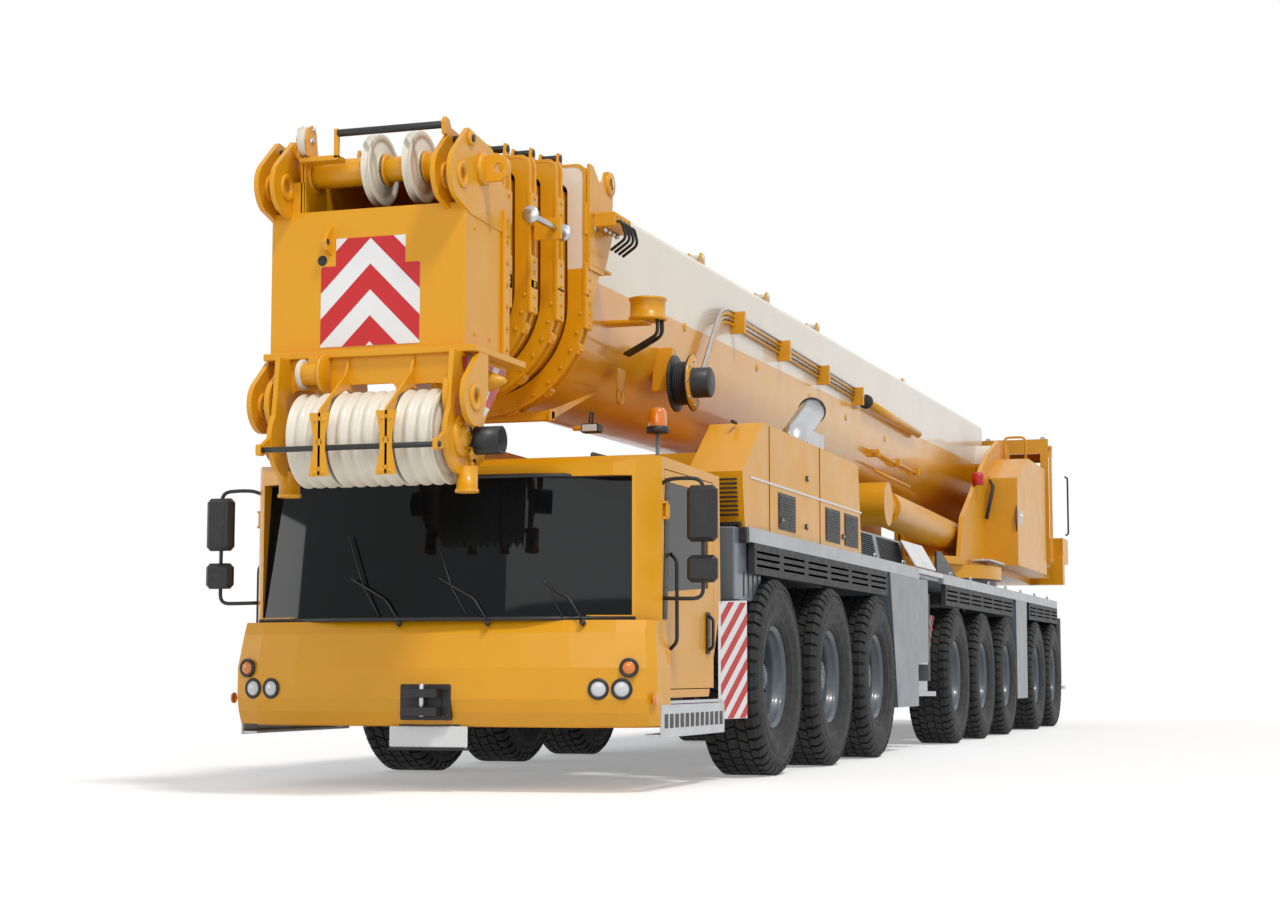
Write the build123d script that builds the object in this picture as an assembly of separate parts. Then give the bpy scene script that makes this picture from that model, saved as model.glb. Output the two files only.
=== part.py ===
from build123d import *
from math import atan2, cos, degrees, hypot, radians, sin
import os

# Eight-axle all-terrain telescopic crane, stowed for the road.
# Millimetres.  +X forward, +Y the crane's left, +Z up, ground at z = 0.
# Every x below is measured from the front axle; write() moves the finished
# pieces so that the origin lies on the ground under the middle of the crane.

# ---------------------------------------------------------------- overall
FRONT_END = 4130          # front of the lower sheave guard
REAR_END = -17450         # rear faces of the ballast brackets
ORIGIN_X = (FRONT_END + REAR_END) / 2
FIT = 0.05                # radial clearance of a pin in its bore
SEAT = 0.3                # gap between pieces that only stand on each other
RUN = 6                   # clearance of a sliding piece in its guide
SIDES = (("left", 1), ("right", -1))

# ---------------------------------------------------------------- wheels
TYRE_R = 688
TYRE_W = 430
WHEEL_Y = 1275            # wheel centre
KINGPIN_Y = 1100
WHEEL_Z = TYRE_R
RIM_R = 351               # rim flange
RIM_W = 316               # over the flanges
HUB_BORE_R = 60
DRUM_R = 240
AXLES = (                 # number, x, steering share of axle 1 (None: rigid)
    (1, 0, 1.0),
    (2, -1710, 0.79),
    (3, -3420, 0.58),
    (4, -7350, None),
    (5, -9060, None),
    (6, -10770, -0.31),
    (7, -13300, -0.62),
    (8, -14930, -0.82),
)
PIN_R = 35                # kingpin
FORK_Z = (155, 205)       # fork lugs above and below the axle's line
SPINDLE_REACH = 112       # spindle end beyond the wheel centre plane's hub face
AXLE_HALF = 90            # half width of the axle's end
STRUT_Y = 600             # suspension cylinders

# ---------------------------------------------------------------- carrier
HALF_W = 1460             # deck and side panels
DECK_Z = 1700
DECK_T = 40
EDGE_H = 100              # silver edge profile
EDGE_T = 60
FRAME_HALF = 500
FRAME_Z = (950, DECK_Z - DECK_T - SEAT)
FRAME_FRONT_Z = 1290      # frame top under the engine
FRAME_X = (2290, -16600)
ENGINE_X = (330, -2700)
ENGINE_REAR = -3100       # where the full-height frame begins
FLAP_T = 45
FLAP_Z = (1388, DECK_Z - EDGE_H - SEAT)
DECKS = (                 # front x, rear x of the two deck edges
    (730, -5360),
    (-6630, -15440),
)
ARCHES = (                # front x, rear x of the flap over each wheel group
    (600, -3870),
    (-6750, -11300),
    (-12680, -15440),
)
SIDE_BOXES = (            # name, top front, top rear, bottom front, bottom rear, bottom z
    ("behind axle 3", -3990, -5780, -4290, -5260, 410),
    ("between axles 6 and 7", -11560, -12460, -11580, -12440, 410),
)

# outriggers: one transverse box at each end, two beams side by side
OUT_BEAM_W = 330
OUT_BEAM_H = 400
OUT_BEAM_Z = 1200         # beam centre
OUT_WALL = 25
OUT_BEAM_IN = 1150        # far end of a stowed beam
JACK_Y = 1310
JACK_R = 120
JACK_ROD_R = 90
JACK_Z = (640, 1480)
FOOT_Z = 495
FOOT_R = 170
OUTRIGGERS = (            # name, x of the left beam, x of the right beam
    ("front", -6010, -6390),
    ("rear", -16000, -16380),
)

# ---------------------------------------------------------------- driver's cab
CAB_HALF = 1360
CAB_REAR = 1100
CAB_TOP = 2030
CAB_FLOOR = 565
CAB_WALL = 50
DOOR_X = (1270, 2330)
DOOR_Z = (620, 1950)
DOOR_GAP = 6
DOOR_AXIS = (DOOR_X[1] + DOOR_GAP, CAB_HALF + 18)
HINGE_ZS = (800, 1700)
HINGE_R = 14
HINGE_PIN_R = 8
TOW_X = 2865              # pin of the front coupling
TOW_BORE_R = 20

# ---------------------------------------------------------------- superstructure
SLEW_X = -11400
RING_R = 1300
RING_Z = (DECK_Z, 1830, 1985)
TABLE_T = 90
SIDE_PLATE_Y = (920, 970)
PIVOT = (-14200, 3500)    # boom foot pin, x and z
PIVOT_R = 120
WINCH = (-15800, 2640)    # drum, x and z
WINCH_Y = (-700, 300)
WINCH_R = 360
WINCH_PIN_R = 60
CAB_PLAN_2 = ((-15250, 450), (-15250, 1400), (-16650, 1220), (-16650, 450))  # crane cab, x and y
CAB_Z_2 = (2200, 3940)
CAB_WALL_2 = 60
CAB_DOOR_2 = (80, 780, 6, 46)    # along and off the crane cab's outer side
BALLAST_PIN = (-17250, 1265)
BALLAST_BORE_R = 50
CYL_FOOT = (-12200, 2350)
CYL_EYE = (-7000, 2440)
CYL_Y = 690
CYL_R = 190
CYL_ROD_R = 150
CYL_PIN_R = 80

# ---------------------------------------------------------------- boom
BOOM_TILT = 0.7           # degrees, the stowed boom falls towards its head
BOOM_WALL = 12
BOOM_STEP = 35            # half-width lost from one section to the next
BASE_HALF = 600
BASE_TOP = 4070           # top and belly of the level base section
BASE_BOTTOM = 2670
BASE_X = (-14550, 1950)
SECTION_REAR = -13750
COLLAR_T = 110
SECTIONS = (              # name, front x, collar width over the section
    ("boom_base", BASE_X[1], 95),
    ("tele_1", 2350, 80),
    ("tele_2", 2700, 70),
    ("tele_3", 3000, 55),
    ("tele_4", 3320, 0),
)

# boom head
UPPER_EAR = (3760, 3520)  # jib pin bores, x and z
LOWER_EAR = (3785, 2242)
EAR_BORE_R = 40
TOP_SHEAVE = (3880, 3625) # shaft, x and z
TOP_SHEAVE_R = 205
TOP_SHAFT_R = 50
TOP_SHEAVE_Y = ((-100, 120), (140, 390))
LOW_SHEAVE = (3780, 2030)
LOW_SHEAVE_R = 300
LOW_SHAFT_R = 60
LOW_SHEAVE_Y = ((-377, -245), (-135, 145), (240, 610))
LOW_CHEEKS = ((-470, -410), (640, 700))


# ---------------------------------------------------------------- helpers
def box(x, y, z):
    """Box between two values on each axis."""
    size = [abs(pair[1] - pair[0]) for pair in (x, y, z)]
    middle = [(pair[0] + pair[1]) / 2 for pair in (x, y, z)]
    return Pos(*middle) * Box(*size)


def rod_x(radius, x, y, z):
    return Pos((x[0] + x[1]) / 2, y, z) * Rot(0, 90, 0) * Cylinder(radius, abs(x[1] - x[0]))


def rod_y(radius, x, y, z):
    return Pos(x, (y[0] + y[1]) / 2, z) * Rot(90, 0, 0) * Cylinder(radius, abs(y[1] - y[0]))


def rod_z(radius, x, y, z):
    return Pos(x, y, (z[0] + z[1]) / 2) * Cylinder(radius, abs(z[1] - z[0]))


def face_of(points, place):
    """Flat face through 2-D points; place turns a 2-D point into a 3-D one."""
    return make_face(Polyline(*[place(*p) for p in points], close=True))


def plate_xz(points, y):
    """Side profile in x and z, extruded between two values of y."""
    face = face_of(points, lambda a, b: (a, y[0], b))
    return extrude(face, amount=y[1] - y[0], dir=(0, 1, 0))


def plate_yz(points, x):
    face = face_of(points, lambda a, b: (x[0], a, b))
    return extrude(face, amount=x[1] - x[0], dir=(1, 0, 0))


def plate_xy(points, z):
    face = face_of(points, lambda a, b: (a, b, z[0]))
    return extrude(face, amount=z[1] - z[0], dir=(0, 0, 1))


def flip(shape, side):
    """The same piece on the crane's left (1) or right (-1)."""
    return shape if side == 1 else mirror(shape, about=Plane.XZ)


def both(shape):
    return [shape, flip(shape, -1)]


def group(*shapes):
    """Several solids in one node that don't touch."""
    return Compound([solid for shape in shapes for solid in shape.solids()])


def write(node, shape):
    """Export one node, moved to the crane's own origin."""
    solids = [solid.moved(Pos(-ORIGIN_X, 0, 0)) for solid in shape.solids()]
    export_step(Compound(solids) if len(solids) > 1 else solids[0], f"parts/{node}.step")


# ---------------------------------------------------------------- wheels and axles
def wheel_solid():
    """Tyre on its deep-dished rim with hub and drum, outside towards +Y."""
    half, flange = TYRE_W / 2, RIM_W / 2
    shoulder = (TYRE_R - 48, half - 22)
    tread = (TYRE_R, half - 48)
    bead = (RIM_R + 6, flange)
    belly = (RIM_R + 160, half)
    dish = RIM_R - 32
    disc = (-15, 20)
    hub_face = -80
    nose = 118
    sketch = [
        Polyline((0, nose), (0, 42), (HUB_BORE_R + FIT, 42), (HUB_BORE_R + FIT, hub_face),
                 (DRUM_R, hub_face), (DRUM_R, disc[0]), (dish, disc[0]), (dish, -flange + 14),
                 (RIM_R, -flange), (bead[0], -bead[1])),
        ThreePointArc((bead[0], -bead[1]), (belly[0], -belly[1]), (shoulder[0], -shoulder[1])),
        Polyline((shoulder[0], -shoulder[1]), (tread[0], -tread[1]), (tread[0], tread[1]),
                 (shoulder[0], shoulder[1])),
        ThreePointArc((shoulder[0], shoulder[1]), (belly[0], belly[1]), (bead[0], bead[1])),
        Polyline((bead[0], bead[1]), (RIM_R, flange), (dish, flange - 14), (dish, disc[1] + 60),
                 (dish - 45, disc[1]), (185, disc[1]), (165, disc[1] + 30), (150, nose - 25),
                 (110, nose), (0, nose)),
    ]
    section = make_face(sketch)
    return revolve(section, Axis.Y)


def knuckle_solid():
    """Steering knuckle: block on the kingpin, spindle, arm; kingpin at x = y = z = 0."""
    hub_face = WHEEL_Y - KINGPIN_Y - 80
    block = rod_z(75, 0, 0, (-FORK_Z[0] + 2, FORK_Z[0] - 2))
    pin = rod_z(PIN_R, 0, 0, (-FORK_Z[1], FORK_Z[1]))
    flange = rod_y(110, 0, (0, hub_face - 2), 0)
    spindle = rod_y(HUB_BORE_R, 0, (0, hub_face + SPINDLE_REACH), 0)
    arm = box((-260, 0), (-30, 20), (-150, -110)) + box((-40, 40), (-30, 20), (-150, -60))
    return block + pin + flange + spindle + arm


def strut_top(x):
    """Height of a strut's head: the frame is lower ahead of the engine's end."""
    return FRAME_FRONT_Z - 20 if x > ENGINE_REAR else FRAME_Z[0] + 330


def axle_solid(x, steered):
    """Drive axle: banjo housing, tapering beam, forks or plain spindles, two struts."""
    housing = Pos(x, 0, WHEEL_Z) * Rot(90, 0, 0) * Cylinder(215, 300)
    cone = Pos(x, 0, WHEEL_Z) * Sphere(255)
    beam = box((x - 95, x + 95), (-930, 930), (WHEEL_Z - 90, WHEEL_Z + 90))
    shape = housing + cone + beam
    fork_y = (925, 985)
    for side in (1, -1):
        if steered:
            back = box((x - AXLE_HALF, x + AXLE_HALF), fork_y,
                       (WHEEL_Z - FORK_Z[1], WHEEL_Z + FORK_Z[1]))
            end = back
            for low, high in ((-FORK_Z[1], -FORK_Z[0]), FORK_Z):
                lug = box((x - 80, x + 80), (fork_y[0], KINGPIN_Y), (WHEEL_Z + low, WHEEL_Z + high))
                lug += rod_z(80, x, KINGPIN_Y, (WHEEL_Z + low, WHEEL_Z + high))
                lug -= rod_z(PIN_R + FIT, x, KINGPIN_Y, (WHEEL_Z + low, WHEEL_Z + high))
                end += lug
        else:
            hub_face = WHEEL_Y - 80
            end = rod_y(120, x, (900, hub_face - 2), WHEEL_Z)
            end += rod_y(HUB_BORE_R, x, (900, hub_face + SPINDLE_REACH), WHEEL_Z)
        shape += flip(end, side)
        head_z = strut_top(x)
        strut = rod_z(62, x, STRUT_Y, (WHEEL_Z + 60, head_z))
        strut += rod_z(85, x, STRUT_Y, (WHEEL_Z + 230, head_z))
        shape += flip(strut, side)
    return shape


def build_running_gear():
    wheel = wheel_solid()
    knuckle = knuckle_solid()
    for number, x, share in AXLES:
        for name, side in SIDES:
            turned = wheel if side == 1 else Rot(0, 0, 180) * wheel
            write(f"wheel_{number}_{name}", Pos(x, side * WHEEL_Y, WHEEL_Z) * turned)
            if share is not None:
                write(f"knuckle_{number}_{name}",
                      Pos(x, side * KINGPIN_Y, WHEEL_Z) * flip(knuckle, side))


# ---------------------------------------------------------------- carrier
def frame_solid():
    """Box frame with a lowered front, strut brackets, outrigger boxes and slewing seat."""
    low, top = FRAME_Z
    profile = [
        (FRAME_X[0], 420), (FRAME_X[0], CAB_FLOOR - SEAT), (1345, CAB_FLOOR - SEAT), (1060, 1180), (1060, FRAME_FRONT_Z),
        (ENGINE_REAR, FRAME_FRONT_Z), (ENGINE_REAR - 250, top), (FRAME_X[1], top),
        (FRAME_X[1], low + 60), (900, low), (1200, 420),
    ]
    frame = plate_xz(profile, (-FRAME_HALF, FRAME_HALF))
    for number, x, share in AXLES:
        head_z = strut_top(x)
        lift = 0 if x > ENGINE_REAR else 300
        for side in (1, -1):
            wing = plate_yz([(FRAME_HALF - 20, head_z + lift), (STRUT_Y + 95, head_z), (STRUT_Y + 95, head_z - 90),
                             (FRAME_HALF - 20, head_z - 140)], (x - 110, x + 110))
            frame += flip(wing, side)
    half_box = OUT_BEAM_H / 2 + RUN + OUT_WALL
    for name, x_left, x_right in OUTRIGGERS:
        high = max(x_left, x_right) + OUT_BEAM_W / 2 + RUN + OUT_WALL
        rear = min(x_left, x_right) - OUT_BEAM_W / 2 - RUN - OUT_WALL
        frame += box((rear, high), (-OUT_BEAM_IN, OUT_BEAM_IN),
                     (OUT_BEAM_Z - half_box, OUT_BEAM_Z + half_box))
        for x in (x_left, x_right):
            half_w = OUT_BEAM_W / 2 + RUN
            half_h = OUT_BEAM_H / 2 + RUN
            frame -= box((x - half_w, x + half_w), (-OUT_BEAM_IN - 5, OUT_BEAM_IN + 5),
                         (OUT_BEAM_Z - OUT_BEAM_H / 2 - SEAT, OUT_BEAM_Z + half_h))
    seat = rod_z(RING_R - 60, SLEW_X, 0, (top, RING_Z[1]))
    return frame + seat


def write_frame():
    frame = frame_solid()
    engine = box(ENGINE_X, (-430, 430), (FRAME_FRONT_Z + SEAT, 2150))
    for number, x, share in AXLES:
        frame += axle_solid(x, share is not None)
    write("carrier_frame", group(frame, engine))


def deck_pieces():
    pieces = []
    for front, rear in DECKS:
        plate = box((rear, front), (-HALF_W + EDGE_T, HALF_W - EDGE_T), (DECK_Z - DECK_T, DECK_Z))
        for side in (1, -1):
            edge = box((rear, front), (HALF_W - EDGE_T, HALF_W), (DECK_Z - EDGE_H, DECK_Z))
            plate += flip(edge, side)
        if front > ENGINE_REAR:
            plate -= box((ENGINE_REAR - 50, front + 5), (-1030, 1030), (DECK_Z - 200, DECK_Z + 5))
        if rear < SLEW_X < front:
            plate -= rod_z(RING_R - 60 + SEAT, SLEW_X, 0, (DECK_Z - 200, DECK_Z + 5))
        pieces.append(plate)
    return pieces


def write_carrier():
    write("deck", group(*deck_pieces()))
    panels = []
    for name, top_front, top_rear, low_front, low_rear, low_z in SIDE_BOXES:
        outline = [(top_front, DECK_Z - EDGE_H - SEAT), (top_rear, DECK_Z - EDGE_H - SEAT),
                   (top_rear, 816), (low_rear, 800), (low_rear, low_z), (low_front, low_z)]
        outline = outline if top_rear < low_rear - 100 else [outline[0], outline[1], outline[4], outline[5]]
        panels += both(plate_xz(outline, (HALF_W - 620, HALF_W)))
    write("side_panels", group(*panels))
    flaps = []
    for front, rear in ARCHES:
        flap = box((rear, front), (HALF_W - FLAP_T, HALF_W), FLAP_Z)
        flaps += both(flap)
    write("arch_flaps", group(*flaps))


def write_hoods():
    """Side hoods outboard of the boom and the engine cover between them."""
    hoods = []
    outline = [(700, DECK_Z + SEAT), (760, 2080), (200, 2470), (-2900, 2450), (-3000, DECK_Z + SEAT)]
    hood = plate_xz(outline, (1030, 1420))
    hoods += both(hood)
    cover = box((500, -2950), (-1030 + SEAT, 1030 - SEAT), (2200, 2240))
    cover += box((460, 500), (-1030 + SEAT, 1030 - SEAT), (1500, 2240))
    cover += box((-2950, -2990), (-1030 + SEAT, 1030 - SEAT), (1700, 2240))
    hoods.append(cover)
    write("engine_hoods", group(*hoods))


def write_outriggers():
    for end, x_left, x_right in OUTRIGGERS:
        for (name, side), x in zip(SIDES, (x_left, x_right)):
            beam = box((x - OUT_BEAM_W / 2, x + OUT_BEAM_W / 2), (-OUT_BEAM_IN, JACK_Y),
                       (OUT_BEAM_Z - OUT_BEAM_H / 2, OUT_BEAM_Z + OUT_BEAM_H / 2))
            tube = rod_z(JACK_R, x, JACK_Y, JACK_Z)
            bore = rod_z(JACK_ROD_R + FIT, x, JACK_Y, (JACK_Z[0] - 5, JACK_Z[1] - 60))
            write(f"outrigger_{end}_{name}", flip(beam + tube - bore, side))
            rod = rod_z(JACK_ROD_R, x, JACK_Y, (FOOT_Z + 40, JACK_Z[1] - 70))
            foot = rod_z(FOOT_R, x, JACK_Y, (FOOT_Z, FOOT_Z + 45))
            write(f"jack_{end}_{name}", flip(rod + foot, side))


# ---------------------------------------------------------------- driver's cab
CAB_SIDE = [              # x, z of the cab's outline
    (2640, 390), (2800, 600), (2800, 760), (2640, 1020), (2600, 1980), (2480, CAB_TOP),
    (CAB_REAR + 20, CAB_TOP - 20), (CAB_REAR, 1180), (1380, CAB_FLOOR), (2330, CAB_FLOOR),
    (2330, 390),
]
CAB_PLAN = [              # x, y of the cab's outline, left half
    (1000, CAB_HALF), (2380, CAB_HALF), (2560, 1250), (2760, 620), (2800, 0),
]


def cab_block(inset):
    """The cab's outside, or its inside when every wall is inset."""
    half = [(x - (inset if x > 2000 else -inset), max(y - inset, 0)) for x, y in CAB_PLAN]
    plan = half + [(x, -y) for x, y in reversed(half[:-1])]
    block = plate_xy(plan, (300, 2200))
    if inset == 0:
        return block & plate_xz(CAB_SIDE, (-CAB_HALF - 10, CAB_HALF + 10))
    inner = [(2590, 640), (2590, 1000), (2560, 1940), (2450, CAB_TOP - inset), (CAB_REAR + 60, CAB_TOP - inset),
             (CAB_REAR + 60, 1220), (1420, 640)]
    return block & plate_xz(inner, (-CAB_HALF, CAB_HALF))


def door_leaves():
    """Hinge leaves on the left door, each with the barrel that turns on the pin."""
    x, y = DOOR_AXIS
    leaves = Part()
    for z in HINGE_ZS:
        leaves += box((DOOR_X[1] - 70, x), (CAB_HALF, CAB_HALF + 12), (z - 40, z + 40))
        leaves += rod_z(HINGE_R, x, y, (z - 40, z + 40)) - rod_z(HINGE_PIN_R + FIT, x, y, (z - 41, z + 41))
        leaves -= rod_z(HINGE_PIN_R + FIT, x, y, (z - 41, z + 41))
    return leaves


def door_pins():
    """Pins and lugs of the left door's hinges, on the door post."""
    x, y = DOOR_AXIS
    pins = Part()
    for z in HINGE_ZS:
        pins += rod_z(HINGE_PIN_R, x, y, (z - 55, z + 55))
        for low in (z - 55, z + 40 + SEAT):
            pins += rod_z(HINGE_R - 3, x, y, (low, low + 15 - SEAT))
            pins += box((x, x + 40), (CAB_HALF - 1, y + 4), (low, low + 15 - SEAT))
    return pins


def write_cab():
    shell = cab_block(0) - cab_block(CAB_WALL)
    door_hole = box((DOOR_X[0] - DOOR_GAP, DOOR_X[1] + DOOR_GAP), (CAB_HALF - 200, CAB_HALF + 20),
                    (DOOR_Z[0] - DOOR_GAP, DOOR_Z[1] + DOOR_GAP))
    for piece in both(door_hole):
        shell -= piece
    screen = box((2300, 2900), (-1230, 1230), (1060, 1900))
    shell -= screen
    shell -= box((1000, 1250), (-700, 700), (1350, 1800))
    jaw = box((2760, 2900), (-110, 110), (460, 620)) - box((2830, 2910), (-111, 111), (510, 570))
    jaw -= rod_z(TOW_BORE_R, TOW_X, 0, (450, 630))
    write("driver_cab", shell + jaw + both(door_pins()))
    outer = cab_block(8) & box((2300, 2900), (-1230 + SEAT, 1230 - SEAT), (1060 + SEAT, 1900 - SEAT))
    glass = outer - cab_block(20)
    rear = box((CAB_REAR + 20, CAB_REAR + 28), (-700 + SEAT, 700 - SEAT), (1350 + SEAT, 1800 - SEAT))
    write("cab_glass", group(glass, rear))
    for name, side in SIDES:
        door = box(DOOR_X, (CAB_HALF - CAB_WALL, CAB_HALF), DOOR_Z) + door_leaves()
        window = plate_xz([(1380, 1260), (2260, 1210), (2260, 1880), (1380, 1880)],
                          (CAB_HALF - 200, CAB_HALF + 20))
        write(f"door_{name}", flip(door - window, side))
    seats = []
    for y in (850, 0, -850):
        seat = box((1500, 2000), (y - 240, y + 240), (640 + SEAT, 1080))
        seat += box((1420, 1540), (y - 240, y + 240), (700, 1750))
        seats.append(seat)
    dash = plate_xz([(2350, 640 + SEAT), (2500, 640 + SEAT), (2500, 990), (2300, 1120), (2250, 1080)],
                    (-1000, 1000))
    wheel = Pos(2200, 850, 1130) * Rot(0, -60, 0) * Torus(210, 16)
    column = Pos(2200, 850, 1130) * Rot(0, -60, 0) * (Pos(0, 0, -90) * Cylinder(30, 190))
    spokes = Pos(2200, 850, 1130) * Rot(0, -60, 0) * Box(40, 420, 16)
    write("cab_interior", group(*seats, dash + wheel + column + spokes))
    mirrors = []
    housing = box((2350, 2450), (1530, 1720), (1490, 1845)) + box((2350, 2450), (1520, 1715), (1245, 1420))
    arm = rod_z(18, 2375, 1600, (1150, 1900)) + rod_y(18, 2375, (CAB_HALF + SEAT, 1618), 1880)
    arm += rod_y(18, 2375, (CAB_HALF + SEAT, 1618), 1165)
    mirrors += both(housing + arm)
    write("mirrors_and_lamps", group(*mirrors))


# ---------------------------------------------------------------- superstructure
def write_superstructure():
    low, high = RING_Z[2], RING_Z[2] + TABLE_T
    ring = rod_z(RING_R, SLEW_X, 0, (RING_Z[1] + 0.5, low))
    table = plate_xy([(-10150, 850), (-10500, 1000), (-15100, 1000), (-16900, 900), (-16900, -900),
                      (-15100, -1000), (-10500, -1000), (-10150, -850)], (low, high))
    table += ring
    side = plate_xz([(-10500, high), (-10750, 2560), (-12700, 3500), (-13700, 3780), (-14450, 3780),
                     (-15100, 2800), (-15100, high)], SIDE_PLATE_Y)
    pin = rod_y(PIVOT_R, PIVOT[0], (BASE_HALF + 60, SIDE_PLATE_Y[0]), PIVOT[1])
    foot = rod_y(CYL_PIN_R, CYL_FOOT[0], (CYL_Y - 150, SIDE_PLATE_Y[0]), CYL_FOOT[1])
    cheek = plate_xz([(CYL_FOOT[0] + 150, high), (CYL_FOOT[0] + 120, 2480), (CYL_FOOT[0] - 120, 2480),
                      (CYL_FOOT[0] - 150, high)], (CYL_Y - 200, CYL_Y - 150))
    for piece in (side, foot, cheek):
        for copy in both(piece):
            table += copy
    table += rod_y(PIVOT_R, PIVOT[0], (-SIDE_PLATE_Y[0], SIDE_PLATE_Y[0]), PIVOT[1])
    cabinet = plate_xz([(-12450, 2060), (-12450, 3165), (-13480, 3500), (-15100, 3500), (-15100, 2060)],
                       (SIDE_PLATE_Y[1], 1370))
    for copy in both(cabinet):
        table += copy
    ballast = box((REAR_END, -16850), (1150, 1380), (2300, 2660))
    ballast += box((-17000, -16800), (850, 1380), (low, 2400))
    ballast -= rod_z(BALLAST_BORE_R, BALLAST_PIN[0], BALLAST_PIN[1], (2290, 2670))
    for copy in both(ballast):
        table += copy
    table += box((-16900, -16800), (-900, 900), (low, 2400))
    for y in (WINCH_Y[0] - 80, WINCH_Y[1] + 30):
        table += box((-15300, -16300), (y, y + 50), (high - 5, 2900))
    table += rod_y(WINCH_PIN_R, WINCH[0], (WINCH_Y[0] - 60, WINCH_Y[1] + 60), WINCH[1])
    table += box((-15150, -16640), (450, 1200), (high - 5, CAB_Z_2[0] - SEAT))
    write("turntable", table)
    drum = rod_y(WINCH_R, WINCH[0], WINCH_Y, WINCH[1])
    for y in (WINCH_Y[0], WINCH_Y[1] - 30):
        drum += rod_y(WINCH_R + 110, WINCH[0], (y, y + 30), WINCH[1])
    drum -= rod_y(WINCH_PIN_R + FIT, WINCH[0], (WINCH_Y[0] - 5, WINCH_Y[1] + 5), WINCH[1])
    write("winch_drum", drum)


def along_side(along, off):
    """Plan point at a distance along the crane cab's outer side and off it."""
    (x0, y0), (x1, y1) = CAB_PLAN_2[1], CAB_PLAN_2[2]
    length = hypot(x1 - x0, y1 - y0)
    dx, dy = (x1 - x0) / length, (y1 - y0) / length
    return (x0 + dx * along + dy * off, y0 + dy * along - dx * off)


def side_slab(along, off, z):
    corners = [(along[0], off[0]), (along[1], off[0]), (along[1], off[1]), (along[0], off[1])]
    return plate_xy([along_side(*corner) for corner in corners], z)


def write_crane_cab():
    wall = CAB_WALL_2
    cab = plate_xy(CAB_PLAN_2, CAB_Z_2)
    (x0, y0), (x1, y1), (x2, y2), (x3, y3) = CAB_PLAN_2
    inner = plate_xy([(x0 - wall, y0 + wall), (x1 - wall, y1 - wall - 8), (x2 + wall, y2 - wall - 2),
                      (x3 + wall, y3 + wall)], (CAB_Z_2[0] + wall, CAB_Z_2[1] - wall))
    cab -= inner
    start, end, gap, off = CAB_DOOR_2
    door_z = (CAB_Z_2[0] + 90, CAB_Z_2[1] - 120)
    cab -= side_slab((start + 40, end - 40), (-wall - 30, 10), (door_z[0] + 40, door_z[1] - 40))
    cab -= box((x0 - wall - 20, x0 + 20), (y0 + 110, y1 - 110), (CAB_Z_2[0] + 260, CAB_Z_2[1] - 200))
    cab -= box((x2 - 20, x2 + wall + 20), (y0 + 110, y2 - 110), (CAB_Z_2[0] + 800, CAB_Z_2[1] - 200))
    for low in (door_z[0] - 30, door_z[1] + SEAT):
        cab += side_slab((60, 1400), (-10, off + 6), (low, low + 30 - SEAT))
    write("crane_cab", cab)
    door = side_slab((start, end), (gap, off), door_z)
    door -= side_slab((start + 70, end - 70), (0, off + 10), (CAB_Z_2[0] + 500, CAB_Z_2[1] - 220))
    write("crane_cab_door", door)


# ---------------------------------------------------------------- boom
def tilt(shape):
    """Turn about the foot pin from level to the stowed angle."""
    pivot = Pos(PIVOT[0], 0, PIVOT[1])
    return pivot * Rot(0, BOOM_TILT, 0) * pivot.inverse() * shape


def section_face(half, bottom, top, x):
    """Boom cross-section: straight sides, rounded top edges, half-round belly."""
    corner = 60
    belly = bottom + half
    bend = corner * (1 - cos(radians(45)))
    lines = [
        Line((x, -half, belly), (x, -half, top - corner)),
        ThreePointArc((x, -half, top - corner), (x, -half + bend, top - bend), (x, -half + corner, top)),
        Line((x, -half + corner, top), (x, half - corner, top)),
        ThreePointArc((x, half - corner, top), (x, half - bend, top - bend), (x, half, top - corner)),
        Line((x, half, top - corner), (x, half, belly)),
        ThreePointArc((x, half, belly), (x, 0, bottom), (x, -half, belly)),
    ]
    return make_face(lines)


def section_prism(half, bottom, top, x):
    return extrude(section_face(half, bottom, top, x[0]), amount=x[1] - x[0], dir=(1, 0, 0))


def tube(half, bottom, top, x, width=0):
    """Boom section, or its collar when width says how far it stands out."""
    outer = section_prism(half + width, bottom - width, top + width, x)
    inner = section_prism(half - BOOM_WALL, bottom + BOOM_WALL, top - BOOM_WALL, (x[0] - 5, x[1] + 5))
    return outer - inner


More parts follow.
